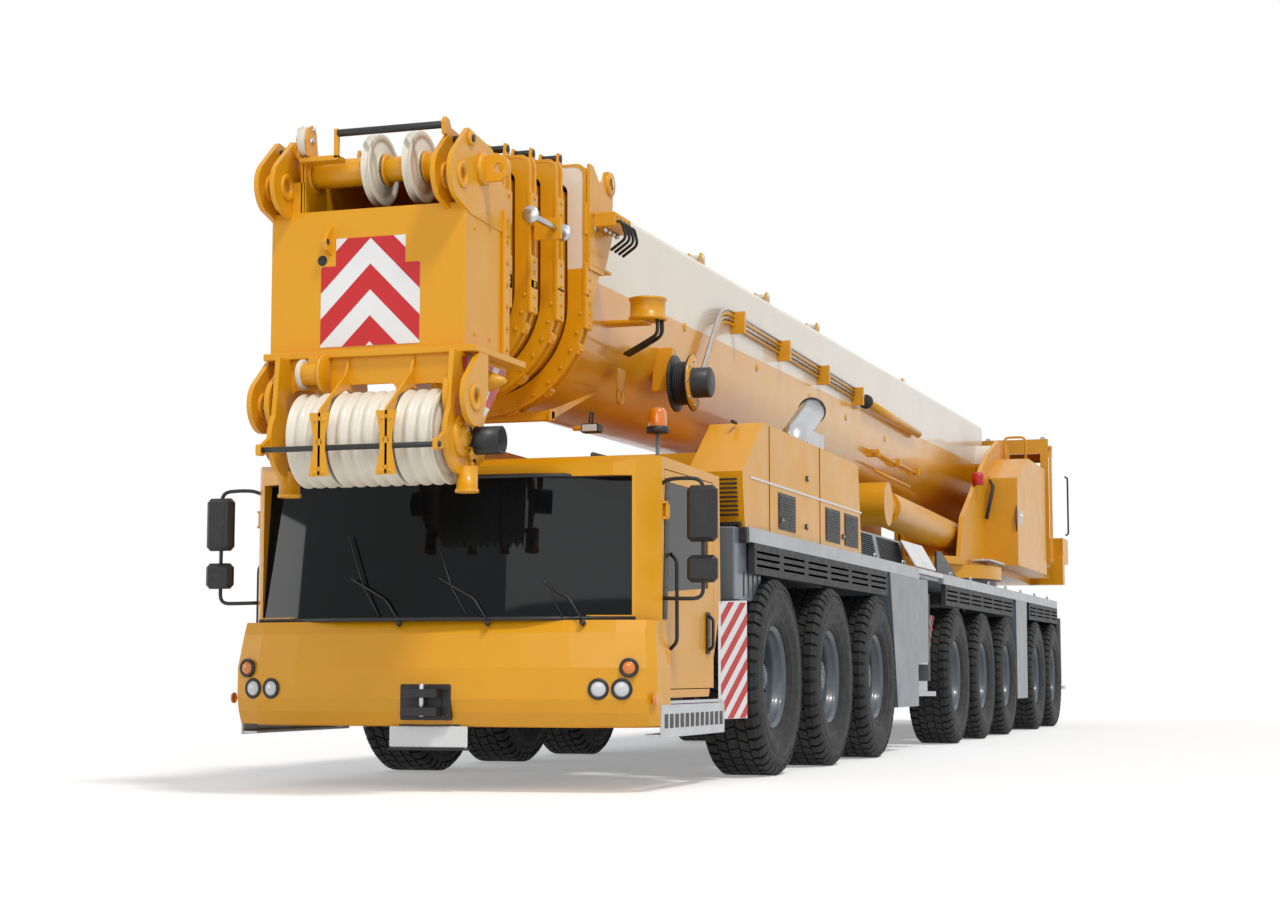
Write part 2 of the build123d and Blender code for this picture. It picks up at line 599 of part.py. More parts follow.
def write_boom():
    for index, (name, front, width) in enumerate(SECTIONS):
        half = BASE_HALF - index * BOOM_STEP
        bottom = BASE_BOTTOM + index * BOOM_STEP
        top = BASE_TOP - index * BOOM_STEP
        rear = BASE_X[0] if index == 0 else SECTION_REAR + index * 60
        shape = tube(half, bottom, top, (rear, front))
        if width:
            shape += tube(half, bottom, top, (front - COLLAR_T, front), width)
        if index:
            pad = BOOM_STEP - BOOM_WALL - SEAT
            pads = box((rear, rear + 200), (-half - pad, half + pad), (bottom + half + 100, top - 200))
            pads += box((rear, rear + 200), (-half + 100, half - 100), (top - 50, top + pad))
            shape += pads - section_prism(half - BOOM_WALL, bottom + BOOM_WALL, top - BOOM_WALL,
                                          (rear, rear + 200))
        shape = tilt(shape)
        if index == 0:
            boss = rod_y(260, PIVOT[0], (half - BOOM_WALL, SIDE_PLATE_Y[0] - RUN), PIVOT[1])
            for copy in both(boss):
                shape += copy
            shape -= rod_y(PIVOT_R + FIT, PIVOT[0], (-1000, 1000), PIVOT[1])
            bracket = plate_xz([(CYL_EYE[0] + 700, 2680), (CYL_EYE[0] + 150, CYL_EYE[1] - 200),
                                (CYL_EYE[0] - 150, CYL_EYE[1] - 200), (CYL_EYE[0] - 700, 2680)],
                               (250, 330))
            bore = tilt(section_prism(half - BOOM_WALL, bottom + BOOM_WALL, top - BOOM_WALL,
                                      (rear, front)))
            stub = rod_y(CYL_PIN_R, CYL_EYE[0], (330, CYL_Y - CYL_ROD_R - RUN), CYL_EYE[1])
            for copy in both(bracket - bore + stub):
                shape += copy
        if name == "tele_4":
            shape += head(half, bottom, top)
        write(name, shape)


def head(half, bottom, top):
    """Sheave head: front plate, ears, cheeks, sheave shafts and the rod before the lower sheaves."""
    plate = box((3180, 3700), (-610, 610), (2550, 3320)) - box((3000, 3660), (-half + 12, half - 12),
                                                              (bottom - 190, 3300))
    ear = plate_xz([(3300, 3300), (3300, 3700), (3560, 3700), (3720, 3790), (3900, 3790), (3960, 3700),
                    (3960, 3500), (3840, 3420), (3700, 3300)], (500, 610))
    ear -= rod_y(EAR_BORE_R, UPPER_EAR[0], (490, 620), UPPER_EAR[1])
    cheek = [(3300, 2560), (3860, 2560), (3900, 2300), (3980, 2050), (3920, 1860), (3760, 1715),
             (3640, 1715), (3300, 2200)]
    shape = plate + box((3300, 3780), (-610, 700), (2530, 2560))
    for y in LOW_CHEEKS:
        shape += plate_xz(cheek, y) - rod_y(EAR_BORE_R, LOWER_EAR[0], (y[0] - 5, y[1] + 5), LOWER_EAR[1])
    for copy in both(ear):
        shape += copy
    shape += rod_y(TOP_SHAFT_R, TOP_SHEAVE[0], (-505, 505), TOP_SHEAVE[1])
    shape += rod_y(LOW_SHAFT_R, LOW_SHEAVE[0], (LOW_CHEEKS[0][0], LOW_CHEEKS[1][1]), LOW_SHEAVE[1])
    guard_x = FRONT_END - 24
    shape += rod_y(18, guard_x, (LOW_CHEEKS[0][0], LOW_CHEEKS[1][1]), 1955)
    for y in LOW_CHEEKS:
        shape += box((3930, FRONT_END), y, (1930, 1980))
    return shape


def write_sheaves():
    top = []
    for y in TOP_SHEAVE_Y:
        top.append(rod_y(TOP_SHEAVE_R, TOP_SHEAVE[0], y, TOP_SHEAVE[1])
                   - rod_y(TOP_SHAFT_R + FIT, TOP_SHEAVE[0], (y[0] - 5, y[1] + 5), TOP_SHEAVE[1]))
    write("sheaves_top", group(*top))
    low = []
    for y in LOW_SHEAVE_Y:
        low.append(rod_y(LOW_SHEAVE_R, LOW_SHEAVE[0], y, LOW_SHEAVE[1])
                   - rod_y(LOW_SHAFT_R + FIT, LOW_SHEAVE[0], (y[0] - 5, y[1] + 5), LOW_SHEAVE[1]))
    write("sheaves_bottom", group(*low))


def write_luffing():
    """Two luffing cylinders side by side, from the turntable to the boom's belly."""
    dx, dz = CYL_EYE[0] - CYL_FOOT[0], CYL_EYE[1] - CYL_FOOT[1]
    length = hypot(dx, dz)
    angle = -degrees(atan2(dz, dx))
    place = Pos(CYL_FOOT[0], 0, CYL_FOOT[1]) * Rot(0, angle, 0)
    barrel_x = (180, length - 420)
    barrels, rods = [], []
    for side in (1, -1):
        y = side * CYL_Y
        barrel = rod_x(CYL_R, barrel_x, y, 0) - rod_x(CYL_ROD_R + FIT, (barrel_x[0] + 60, length), y, 0)
        foot = rod_y(190, 0, (y - 140, y + 140), 0) + box((0, 240), (y - 140, y + 140), (-170, 170))
        foot -= rod_y(CYL_PIN_R + FIT, 0, (y - 145, y + 145), 0)
        barrels.append(place * (barrel + foot))
        rod = rod_x(CYL_ROD_R, (barrel_x[0] + 70, length - 150), y, 0)
        eye = rod_y(225, length, (y - CYL_ROD_R, y + CYL_ROD_R), 0)
        rods.append(place * (rod + eye))
    write("luffing_barrels", group(*barrels))
    write("luffing_rods", group(*rods))


if __name__ == "__main__":
    build_running_gear()
    write_frame()
    write_carrier()
    write_hoods()
    write_outriggers()
    write_cab()
    write_superstructure()
    write_crane_cab()
    write_boom()
    write_sheaves()
    write_luffing()
    print("origin x from the front axle:", ORIGIN_X)
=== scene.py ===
"""Looks for the eight-axle mobile crane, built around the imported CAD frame.

Row frame, metres.  Positions along the crane are given from the front axle
and moved to the row frame by at().
"""
import math
import random

import bmesh
import bpy
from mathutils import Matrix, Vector
from mathutils.geometry import tessellate_polygon


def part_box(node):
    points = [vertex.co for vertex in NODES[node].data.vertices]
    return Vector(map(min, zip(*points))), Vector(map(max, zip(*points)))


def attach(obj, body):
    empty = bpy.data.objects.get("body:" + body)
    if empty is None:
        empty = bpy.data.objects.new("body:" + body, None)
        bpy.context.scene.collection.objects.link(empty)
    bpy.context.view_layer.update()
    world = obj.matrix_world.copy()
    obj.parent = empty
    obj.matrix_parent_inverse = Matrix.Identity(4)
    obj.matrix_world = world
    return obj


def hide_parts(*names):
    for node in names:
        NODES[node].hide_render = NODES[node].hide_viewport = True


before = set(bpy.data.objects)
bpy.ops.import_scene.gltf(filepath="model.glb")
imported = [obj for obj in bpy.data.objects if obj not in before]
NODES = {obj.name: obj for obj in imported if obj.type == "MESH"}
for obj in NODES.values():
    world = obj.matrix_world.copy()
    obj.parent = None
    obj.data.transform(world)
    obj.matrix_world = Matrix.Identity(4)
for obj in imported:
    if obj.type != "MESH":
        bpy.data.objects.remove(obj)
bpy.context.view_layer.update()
random.seed(8)

low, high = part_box("wheel_1_left")
AXLE_X = (low.x + high.x) / 2
BOOM_TILT = math.radians(0.7)
SIDES = (1, -1)             # left, right


def at(x, y, z):
    """Row-frame point of a place given from the front axle."""
    return Vector((x + AXLE_X, y, z))


# ---------------------------------------------------------------- materials
def new_material(name):
    material = bpy.data.materials.new(name)
    material.use_nodes = True
    tree = material.node_tree
    shader = tree.nodes["Principled BSDF"]
    return material, tree, shader


def node(tree, kind, **values):
    made = tree.nodes.new(kind)
    for key, value in values.items():
        if key in made.inputs:
            made.inputs[key].default_value = value
        else:
            setattr(made, key, value)
    return made


def coords(tree, scale=1.0):
    """Object coordinates: they stay with the piece as it moves."""
    source = node(tree, "ShaderNodeTexCoord")
    mapping = node(tree, "ShaderNodeMapping")
    mapping.inputs["Scale"].default_value = (scale, scale, scale)
    tree.links.new(source.outputs["Object"], mapping.inputs["Vector"])
    return mapping.outputs["Vector"]


def noise(tree, vector, scale, detail=4.0, rough=0.55):
    made = node(tree, "ShaderNodeTexNoise", Scale=scale, Detail=detail, Roughness=rough)
    tree.links.new(vector, made.inputs["Vector"])
    return made.outputs["Fac"]


def ramp(tree, fac, stops):
    """Colour ramp; stops is a list of (place, colour)."""
    made = node(tree, "ShaderNodeValToRGB")
    elements = made.color_ramp.elements
    while len(elements) < len(stops):
        elements.new(0.5)
    for element, (place, colour) in zip(elements, stops):
        element.position = place
        element.color = (*colour, 1.0)
    tree.links.new(fac, made.inputs["Fac"])
    return made.outputs["Color"]


def math_node(tree, operation, a, b=None):
    made = node(tree, "ShaderNodeMath", operation=operation)
    for index, value in enumerate((a, b)):
        if value is None:
            continue
        if isinstance(value, (int, float)):
            made.inputs[index].default_value = value
        else:
            tree.links.new(value, made.inputs[index])
    return made.outputs[0]


def mix(tree, fac, a, b):
    made = node(tree, "ShaderNodeMix", data_type="RGBA")
    for index, value in ((6, a), (7, b)):
        if isinstance(value, tuple):
            made.inputs[index].default_value = (*value, 1.0)
        else:
            tree.links.new(value, made.inputs[index])
    if isinstance(fac, (int, float)):
        made.inputs[0].default_value = fac
    else:
        tree.links.new(fac, made.inputs[0])
    return made.outputs[2]


def bump(tree, shader, height, strength, distance=0.002):
    made = node(tree, "ShaderNodeBump", Strength=strength, Distance=distance)
    tree.links.new(height, made.inputs["Height"])
    tree.links.new(made.outputs["Normal"], shader.inputs["Normal"])


def darker(colour, factor):
    return tuple(channel * factor for channel in colour)


def finish_surface(tree, shader, colour, rough, spread, scale, grain, depth):
    """Mottled colour, uneven roughness and a fine grain: what every surface here has."""
    vector = coords(tree)
    broad = noise(tree, vector, scale)
    if isinstance(colour, tuple):
        colour = ramp(tree, broad, [(0.3, darker(colour, 1 - spread)),
            (0.7, darker(colour, 1 + spread * 0.5))])
    tree.links.new(colour, shader.inputs["Base Color"])
    uneven = ramp(tree, noise(tree, vector, scale * 3.1),
        [(0.3, (rough * 0.85,) * 3), (0.7, (rough * 1.2,) * 3)])
    tree.links.new(uneven, shader.inputs["Roughness"])
    bump(tree, shader, noise(tree, vector, grain, 2.0), depth)


def paint(name, colour, rough=0.36, coat=0.12, metallic=0.0, spread=0.05, scale=1.3, grain=220.0,
    depth=0.03):
    material, tree, shader = new_material(name)
    finish_surface(tree, shader, colour, rough, spread, scale, grain, depth)
    shader.inputs["Coat Weight"].default_value = coat
    shader.inputs["Coat Roughness"].default_value = 0.08
    shader.inputs["Metallic"].default_value = metallic
    return material


YELLOW = (0.74, 0.335, 0.0022)
CREAM = (0.80, 0.72, 0.60)
RED = (0.55, 0.008, 0.012)
WHITE = (0.80, 0.80, 0.80)


def boom_paint():
    """Yellow with a cream upper band that falls with the stowed boom."""
    material, tree, shader = new_material("boom_two_tone")
    vector = coords(tree)
    split = node(tree, "ShaderNodeSeparateXYZ")
    tree.links.new(vector, split.inputs[0])
    line = math_node(tree, "MULTIPLY", split.outputs["X"], math.tan(BOOM_TILT))
    level = math_node(tree, "ADD", split.outputs["Z"], line)
    above = math_node(tree, "GREATER_THAN", level, BAND_LEVEL)
    broad = noise(tree, vector, 1.1)
    yellow = ramp(tree, broad, [(0.3, darker(YELLOW, 0.95)), (0.7, darker(YELLOW, 1.03))])
    cream = ramp(tree, broad, [(0.3, darker(CREAM, 0.94)), (0.7, darker(CREAM, 1.03))])
    tree.links.new(mix(tree, above, yellow, cream), shader.inputs["Base Color"])
    bump(tree, shader, noise(tree, vector, 180.0, 2.0), 0.03)
    uneven = ramp(tree, noise(tree, vector, 4.0), [(0.3, (0.28,) * 3), (0.7, (0.38,) * 3)])
    tree.links.new(uneven, shader.inputs["Roughness"])
    shader.inputs["Coat Weight"].default_value = 0.5
    shader.inputs["Coat Roughness"].default_value = 0.08
    return material


BAND_LEVEL = 3.385 + 1.66 * math.tan(BOOM_TILT)


def glass(name, colour, rough=0.03, transmission=0.0, coat=1.0):
    material, tree, shader = new_material(name)
    vector = coords(tree)
    # mottled colour of the glass: here painted shade of the dark cab behind it
    painted_shade_tone = ramp(tree, noise(tree, vector, 2.0), [(0.35, darker(colour, 0.85)),
        (0.65, darker(colour, 1.15))])
    tree.links.new(painted_shade_tone, shader.inputs["Base Color"])
    shader.inputs["Roughness"].default_value = rough
    shader.inputs["Transmission Weight"].default_value = transmission
    shader.inputs["Coat Weight"].default_value = coat
    shader.inputs["Coat Roughness"].default_value = 0.02
    shader.inputs["IOR"].default_value = 1.25
    bump(tree, shader, noise(tree, vector, 1.5, 1.0), 0.02, 0.001)
    return material


def chequer_plate(name, colour):
    """Aluminium with small raised bars in two directions."""
    material, tree, shader = new_material(name)
    vector = coords(tree)
    heights = []
    for turn in (math.radians(45), math.radians(-45)):
        mapping = node(tree, "ShaderNodeMapping")
        mapping.inputs["Rotation"].default_value = (0, 0, turn)
        mapping.inputs["Scale"].default_value = (1.0, 3.4, 1.0)
        tree.links.new(vector, mapping.inputs["Vector"])
        cells = node(tree, "ShaderNodeTexVoronoi", Scale=16.0, feature="F1", Randomness=0.0)
        tree.links.new(mapping.outputs["Vector"], cells.inputs["Vector"])
        heights.append(math_node(tree, "LESS_THAN", cells.outputs["Distance"], 0.32))
    both = math_node(tree, "MAXIMUM", heights[0], heights[1])
    finish_surface(tree, shader, colour, 0.38, 0.12, 2.0, 90.0, 0.05)
    shader.inputs["Metallic"].default_value = 0.85
    bump(tree, shader, both, 0.35, 0.003)
    return material


MATERIALS = {
    "yellow": paint("yellow_paint", YELLOW),
    "boom": boom_paint(),
    "chassis": paint("chassis_paint", (0.028, 0.03, 0.033), 0.5, 0.15, spread=0.2, scale=3.0),
    "panel": paint("panel_paint", (0.14, 0.165, 0.19), 0.42, 0.3, spread=0.08),
    "deck": chequer_plate("deck_plate", (0.42, 0.43, 0.45)),
    "silver": paint("silver_edge", (0.55, 0.56, 0.58), 0.35, 0.1, 0.7, 0.1, 5.0, 120.0, 0.06),
    "rubber": paint("black_rubber", (0.018, 0.018, 0.02), 0.62, 0.0, spread=0.25, scale=6.0, grain=300.0,
        depth=0.12),
    "tyre": paint("tyre_rubber", (0.012, 0.012, 0.012), 0.7, 0.0, spread=0.3, scale=7.0, grain=240.0,
        depth=0.2),
    "rim": paint("rim_paint", (0.075, 0.095, 0.115), 0.38, 0.3, spread=0.1, scale=5.0),
    "steel": paint("ground_steel", (0.5, 0.51, 0.53), 0.28, 0.0, 1.0, 0.1, 6.0, 160.0, 0.05),
    "chrome": paint("hard_chrome", (0.75, 0.75, 0.77), 0.12, 0.0, 1.0, 0.04, 4.0, 150.0, 0.01),
    "nylon": paint("cast_nylon", (0.76, 0.71, 0.60), 0.42, 0.1, spread=0.07, scale=5.0, grain=140.0,
        depth=0.04),
    # near-black opaque glass: the dark of the panes is painted shade of the cab's interior
    "glass": glass("black_glass_painted_cab_shade", (0.004, 0.005, 0.006), coat=0.0),
    "trim": paint("cab_trim", (0.02, 0.02, 0.022), 0.6, 0.0, spread=0.15, scale=8.0, grain=400.0,
        depth=0.2),
    "black": paint("black_plastic", (0.012, 0.012, 0.013), 0.45, 0.0, spread=0.2, scale=8.0, grain=380.0,
        depth=0.12),
    "lens": paint("clear_lens", (0.62, 0.64, 0.66), 0.12, 0.8, spread=0.05, scale=30.0, grain=90.0,
        depth=0.15),
    "amber": paint("amber_lens", (0.75, 0.20, 0.006), 0.15, 0.8, spread=0.05, scale=30.0, grain=90.0,
        depth=0.15),
    "bright": paint("pale_paint", (0.70, 0.71, 0.72), 0.35, 0.3, spread=0.05, scale=4.0),
    "red": paint("red_film", RED, 0.35, 0.2),
    "white": paint("white_film", WHITE, 0.35, 0.2),
}

NODE_MATERIALS = {
    "carrier_frame": "chassis",
    "deck": "deck",
    "side_panels": "panel",
    "arch_flaps": "rubber",
    "cab_glass": "glass",
    "cab_interior": "trim",
    "mirrors_and_lamps": "black",
    "luffing_rods": "yellow",
    "boom_base": "boom",
}


def node_material(name):
    if name in NODE_MATERIALS:
        return NODE_MATERIALS[name]
    for start, material in (("wheel", "tyre"), ("knuckle", "chassis"), ("outrigger", "chassis"),
        ("jack", "steel"), ("sheaves", "nylon")):
        if name.startswith(start):
            return material
    return "yellow"


for name, thing in NODES.items():
    thing.data.materials.clear()
    thing.data.materials.append(MATERIALS[node_material(name)])

JAW = Vector((2.765, 0.13, 0.64))   # faces ahead of x, within y and below z belong to the coupling jaw


def blacken_coupling():
    mesh = NODES["driver_cab"].data
    mesh.materials.append(MATERIALS["black"])
    for polygon in mesh.polygons:
        centre = NODES["driver_cab"].matrix_world @ polygon.center
        if centre.x - AXLE_X > JAW.x and abs(centre.y) < JAW.y and centre.z < JAW.z:
            polygon.material_index = 1


blacken_coupling()


# ---------------------------------------------------------------- mesh kit
class Kit:
    """Collects the forms of one piece, in millimetres from the front axle."""

    def __init__(self, name, body="root", unit=0.001):
        self.name, self.body, self.unit = name, body, unit
        self.mesh = bmesh.new()
        self.slots = []

    def slot(self, material):
        if material not in self.slots:
            self.slots.append(material)
        return self.slots.index(material)

    def faces(self, loops, material, smooth=False):
        index = self.slot(material)
        made = []
        for loop in loops:
            try:
                face = self.mesh.faces.new(loop)
            except ValueError:
                continue
            face.material_index = index
            face.smooth = smooth
            made.append(face)
        return made

    def verts(self, points):
        return [self.mesh.verts.new(point) for point in points]

    def prism(self, points, shift, material, bevel=0.0):
        """Closed outline of 3-D points swept by a vector; bevel rounds every edge a little."""
        shift = Vector(shift)
        low = self.verts(points)
        high = self.verts([Vector(p) + shift for p in points])
        count = len(points)
        faces = [low[::-1], high]
        faces += [[low[i], low[(i + 1) % count], high[(i + 1) % count], high[i]] for i in range(count)]
        made = self.faces(faces, material)
        bmesh.ops.recalc_face_normals(self.mesh, faces=made)
        if bevel:
            edges = list({edge for face in made for edge in face.edges})
            bmesh.ops.bevel(self.mesh, geom=edges, offset=bevel, segments=1, affect="EDGES", profile=0.5,
                clamp_overlap=True, material=-1)
        return made

    def holed(self, place, outline, holes, shift, material, sides=20):
        """Plate with round holes; place turns a 2-D point into a 3-D one, holes are (a, b, radius)."""
        loops = [list(outline)]
        for a, b, radius in holes:
            loops.append([(a + radius * math.cos(t), b + radius * math.sin(t))
                for t in (2 * math.pi * i / sides for i in range(sides))])
        triangles = tessellate_polygon([[Vector((a, b, 0)) for a, b in loop] for loop in loops])
        flat = [point for loop in loops for point in loop]
        low = self.verts([place(a, b) for a, b in flat])
        high = self.verts([Vector(place(a, b)) + Vector(shift) for a, b in flat])
        faces = [[low[i] for i in triangle] for triangle in triangles]
        faces += [[high[i] for i in triangle] for triangle in triangles]
        start = 0
        for loop in loops:
            count = len(loop)
            faces += [[low[start + i], low[start + (i + 1) % count], high[start + (i + 1) % count],
                high[start + i]] for i in range(count)]
            start += count
        made = self.faces(faces, material)
        bmesh.ops.recalc_face_normals(self.mesh, faces=made)

    def holed_y(self, y, outline, holes, material):
        self.holed(lambda a, b: (a, y[0], b), outline, holes, (0, y[1] - y[0], 0), material)

    def holed_x(self, x, outline, holes, material):
        self.holed(lambda a, b: (x[0], a, b), outline, holes, (x[1] - x[0], 0, 0), material)

    def surface(self, place, rows, columns, material, smooth=True):
        """Open sheet; place(i, j) gives the point of row i and column j."""
        grid = [self.verts([place(i, j) for j in range(columns)]) for i in range(rows)]
        loops = [[grid[i][j], grid[i][j + 1], grid[i + 1][j + 1], grid[i + 1][j]] for i in range(rows - 1)
            for j in range(columns - 1)]
        self.faces(loops, material, smooth)

    def block(self, x, y, z, material, bevel=4):
        points = [(x[0], y[0], z[0]), (x[1], y[0], z[0]), (x[1], y[1], z[0]), (x[0], y[1], z[0])]
        return self.prism(points, (0, 0, z[1] - z[0]), material, bevel)

    def plate_x(self, x, points, material, bevel=0.0):
        """Outline in y and z between two values of x."""
        return self.prism([(x[0], y, z) for y, z in points], (x[1] - x[0], 0, 0), material, bevel)

    def plate_y(self, y, points, material, bevel=0.0):
        return self.prism([(x, y[0], z) for x, z in points], (0, y[1] - y[0], 0), material, bevel)

    def lathe(self, origin, axis, profile, material, sides=32, smooth=True):
        """Profile of (radius, distance along the axis) turned about it."""
        origin, axis = Vector(origin), Vector(axis).normalized()
        across = axis.orthogonal().normalized()
        other = axis.cross(across)
        rings = []
        for radius, along in profile:
            centre = origin + axis * along
            if radius < 1e-6:
                rings.append([self.mesh.verts.new(centre)] * sides)
                continue
            angles = [2 * math.pi * i / sides for i in range(sides)]
            rings.append(self.verts([centre + (across * math.cos(a) + other * math.sin(a)) * radius
                for a in angles]))
        loops = []
        for low, high in zip(rings, rings[1:]):
            for i in range(sides):
                loop = [low[i], low[(i + 1) % sides], high[(i + 1) % sides], high[i]]
                unique = list(dict.fromkeys(loop))
                if len(unique) > 2:
                    loops.append(unique)
        return self.faces(loops, material, smooth)

    def rod(self, start, end, radius, material, sides=16, lip=0.0):
        """Round bar with capped ends; lip adds a thicker rim at both ends."""
        start, end = Vector(start), Vector(end)
        length = (end - start).length
        edge = radius * 0.08
        profile = [(0, 0), (radius - edge, 0), (radius, edge), (radius, length - edge),
            (radius - edge, length), (0, length)]
        if lip:
            wide = radius + lip
            profile = [(0, 0), (wide, 0), (wide, lip), (radius, lip), (radius, length - lip),
                (wide, length - lip), (wide, length), (0, length)]
        self.lathe(start, end - start, profile, material, sides)

    def pipe(self, points, radius, material, sides=10, bend=None):
        """Rigid pipe through points, its corners turned on a small radius."""
        points = [Vector(p) for p in points]
        bend = bend or radius * 4
        path = [points[0]]
        for before, corner, after in zip(points, points[1:], points[2:]):
            reach = min(bend, (corner - before).length * 0.48, (after - corner).length * 0.48)
            start = corner + (before - corner).normalized() * reach
            end = corner + (after - corner).normalized() * reach
            path += [start.lerp(corner, t).lerp(corner.lerp(end, t), t) for t in (0, 0.25, 0.5, 0.75, 1)]
        path.append(points[-1])
        self.tube(path, radius, material, sides)

    def tube(self, path, radius, material, sides=10):
        path = [Vector(p) for p in path]
        side = None
        rings = []
        for i, point in enumerate(path):
            ahead = (path[min(i + 1, len(path) - 1)] - path[max(i - 1, 0)]).normalized()
            side = ahead.orthogonal() if side is None else side - ahead * side.dot(ahead)
            side.normalize()
            other = ahead.cross(side)
            rings.append(self.verts([point + (side * math.cos(a) + other * math.sin(a)) * radius
                for a in (2 * math.pi * k / sides for k in range(sides))]))
        loops = [[low[i], low[(i + 1) % sides], high[(i + 1) % sides], high[i]] for low,
            high in zip(rings, rings[1:]) for i in range(sides)]
        self.faces(loops, material, True)
        self.faces([rings[0][::-1], rings[-1]], material)

    def bolt(self, place, axis, radius, material="steel", height=None):
        """Hexagon head on a washer."""
        height = height or radius * 0.75
        place, axis = Vector(place), Vector(axis).normalized()
        self.lathe(place, axis, [(radius * 1.35, 0), (radius * 1.35, radius * 0.2), (0, radius * 0.2)],
            material, 12)
        self.lathe(place, axis, [(radius, radius * 0.2), (radius, height),
            (radius * 0.8, height + radius * 0.12), (0, height + radius * 0.12)], material, 6, False)

    def bolt_ring(self, centre, axis, ring, count, radius, material="steel", start=0.0):
        centre, axis = Vector(centre), Vector(axis).normalized()
        across = axis.orthogonal().normalized()
        other = axis.cross(across)
        for index in range(count):
            angle = start + 2 * math.pi * index / count
            self.bolt(centre + (across * math.cos(angle) + other * math.sin(angle)) * ring, axis, radius,
                material)

    def to_mesh(self):
        mesh = bpy.data.meshes.new(self.name)
        bmesh.ops.scale(self.mesh, vec=(self.unit,) * 3, verts=self.mesh.verts)
        self.mesh.to_mesh(mesh)
        self.mesh.free()
        for material in self.slots:
            mesh.materials.append(MATERIALS[material])
        return mesh

    def finish(self, replaces=()):
        """Turn the collected forms into a piece that rides on its body."""
        piece = bpy.data.objects.new(self.name, self.to_mesh())
        bpy.context.scene.collection.objects.link(piece)
        piece.location = (AXLE_X, 0, 0)
        bpy.context.view_layer.update()
        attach(piece, self.body)
        if replaces:
            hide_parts(*replaces)
        return piece


# ---------------------------------------------------------------- wheels
TYRE_R = 0.688
LUGS = 46
SHOULDER = ((0.118, 0.688), (0.172, 0.687), (0.199, 0.662), (0.211, 0.630), (0.205, 0.624), (0.185, 0.655),
            (0.165, 0.672), (0.118, 0.672))   # y and radius of a shoulder lug's section
SIDEWALL = ((0.357, 0.150), (0.363, 0.166), (0.380, 0.178), (0.398, 0.184), (0.402, 0.189), (0.410, 0.190),
    (0.414, 0.187), (0.440, 0.198), (0.480, 0.2095), (0.520, 0.2145), (0.556, 0.2145), (0.560, 0.2120),
    (0.574, 0.2120), (0.578, 0.2145), (0.600, 0.211), (0.612, 0.207), (0.622, 0.203), (0.640, 0.192),
    (0.662, 0.176), (0.6715, 0.158))
RIM_SECTION = ((0.357, 0.144), (0.359, 0.152), (0.355, 0.158), (0.348, 0.157), (0.345, 0.151),
    (0.338, 0.146), (0.329, 0.140), (0.324, 0.128), (0.321, 0.096), (0.312, 0.088), (0.309, 0.060),
    (0.306, 0.010), (0.297, -0.012), (0.275, -0.022), (0.236, -0.016), (0.222, -0.004), (0.206, 0.004),
    (0.140, 0.004))
TREAD_ROWS = (            # y from and to, slant of the block, share of the pitch that is rubber
    (-0.108, -0.047, 0.25, 0.82),
    (-0.036, 0.036, -0.2, 0.86),
    (0.047, 0.108, 0.25, 0.82),
)


def ring_point(y, radius, angle):
    return (radius * math.sin(angle), y, radius * math.cos(angle))


def add_tread(kit):
    pitch = 2 * math.pi / LUGS
    for index in range(LUGS):
        base = index * pitch
        for side in SIDES:
            start = base + (0 if side > 0 else pitch / 2)
            ends = []
            for step in (0, 0.36, 0.72):
                ends.append(kit.verts([ring_point(side * y, radius, start + step * pitch) for y,
                    radius in SHOULDER]))
            loops = [ends[0][::-1], ends[-1]]
            for low, high in zip(ends, ends[1:]):
                loops += [[low[i], low[(i + 1) % len(low)], high[(i + 1) % len(low)], high[i]]
                    for i in range(len(low))]
            made = kit.faces(loops, "tyre")
            bmesh.ops.recalc_face_normals(kit.mesh, faces=made)
        for y0, y1, slant, share in TREAD_ROWS:
            first, last = base, base + share * pitch
            shift = slant * pitch
            corners = [(y0, first), (y1, first + shift), (y1, last + shift), (y0, last)]
            low = kit.verts([ring_point(y, TYRE_R - 0.019, a) for y, a in corners])
            high = kit.verts([ring_point(y, TYRE_R - 0.0005, a) for y, a in corners])
            loops = [high] + [[low[i], low[(i + 1) % 4], high[(i + 1) % 4], high[i]] for i in range(4)]
            made = kit.faces(loops, "tyre")
            bmesh.ops.recalc_face_normals(kit.mesh, faces=made)


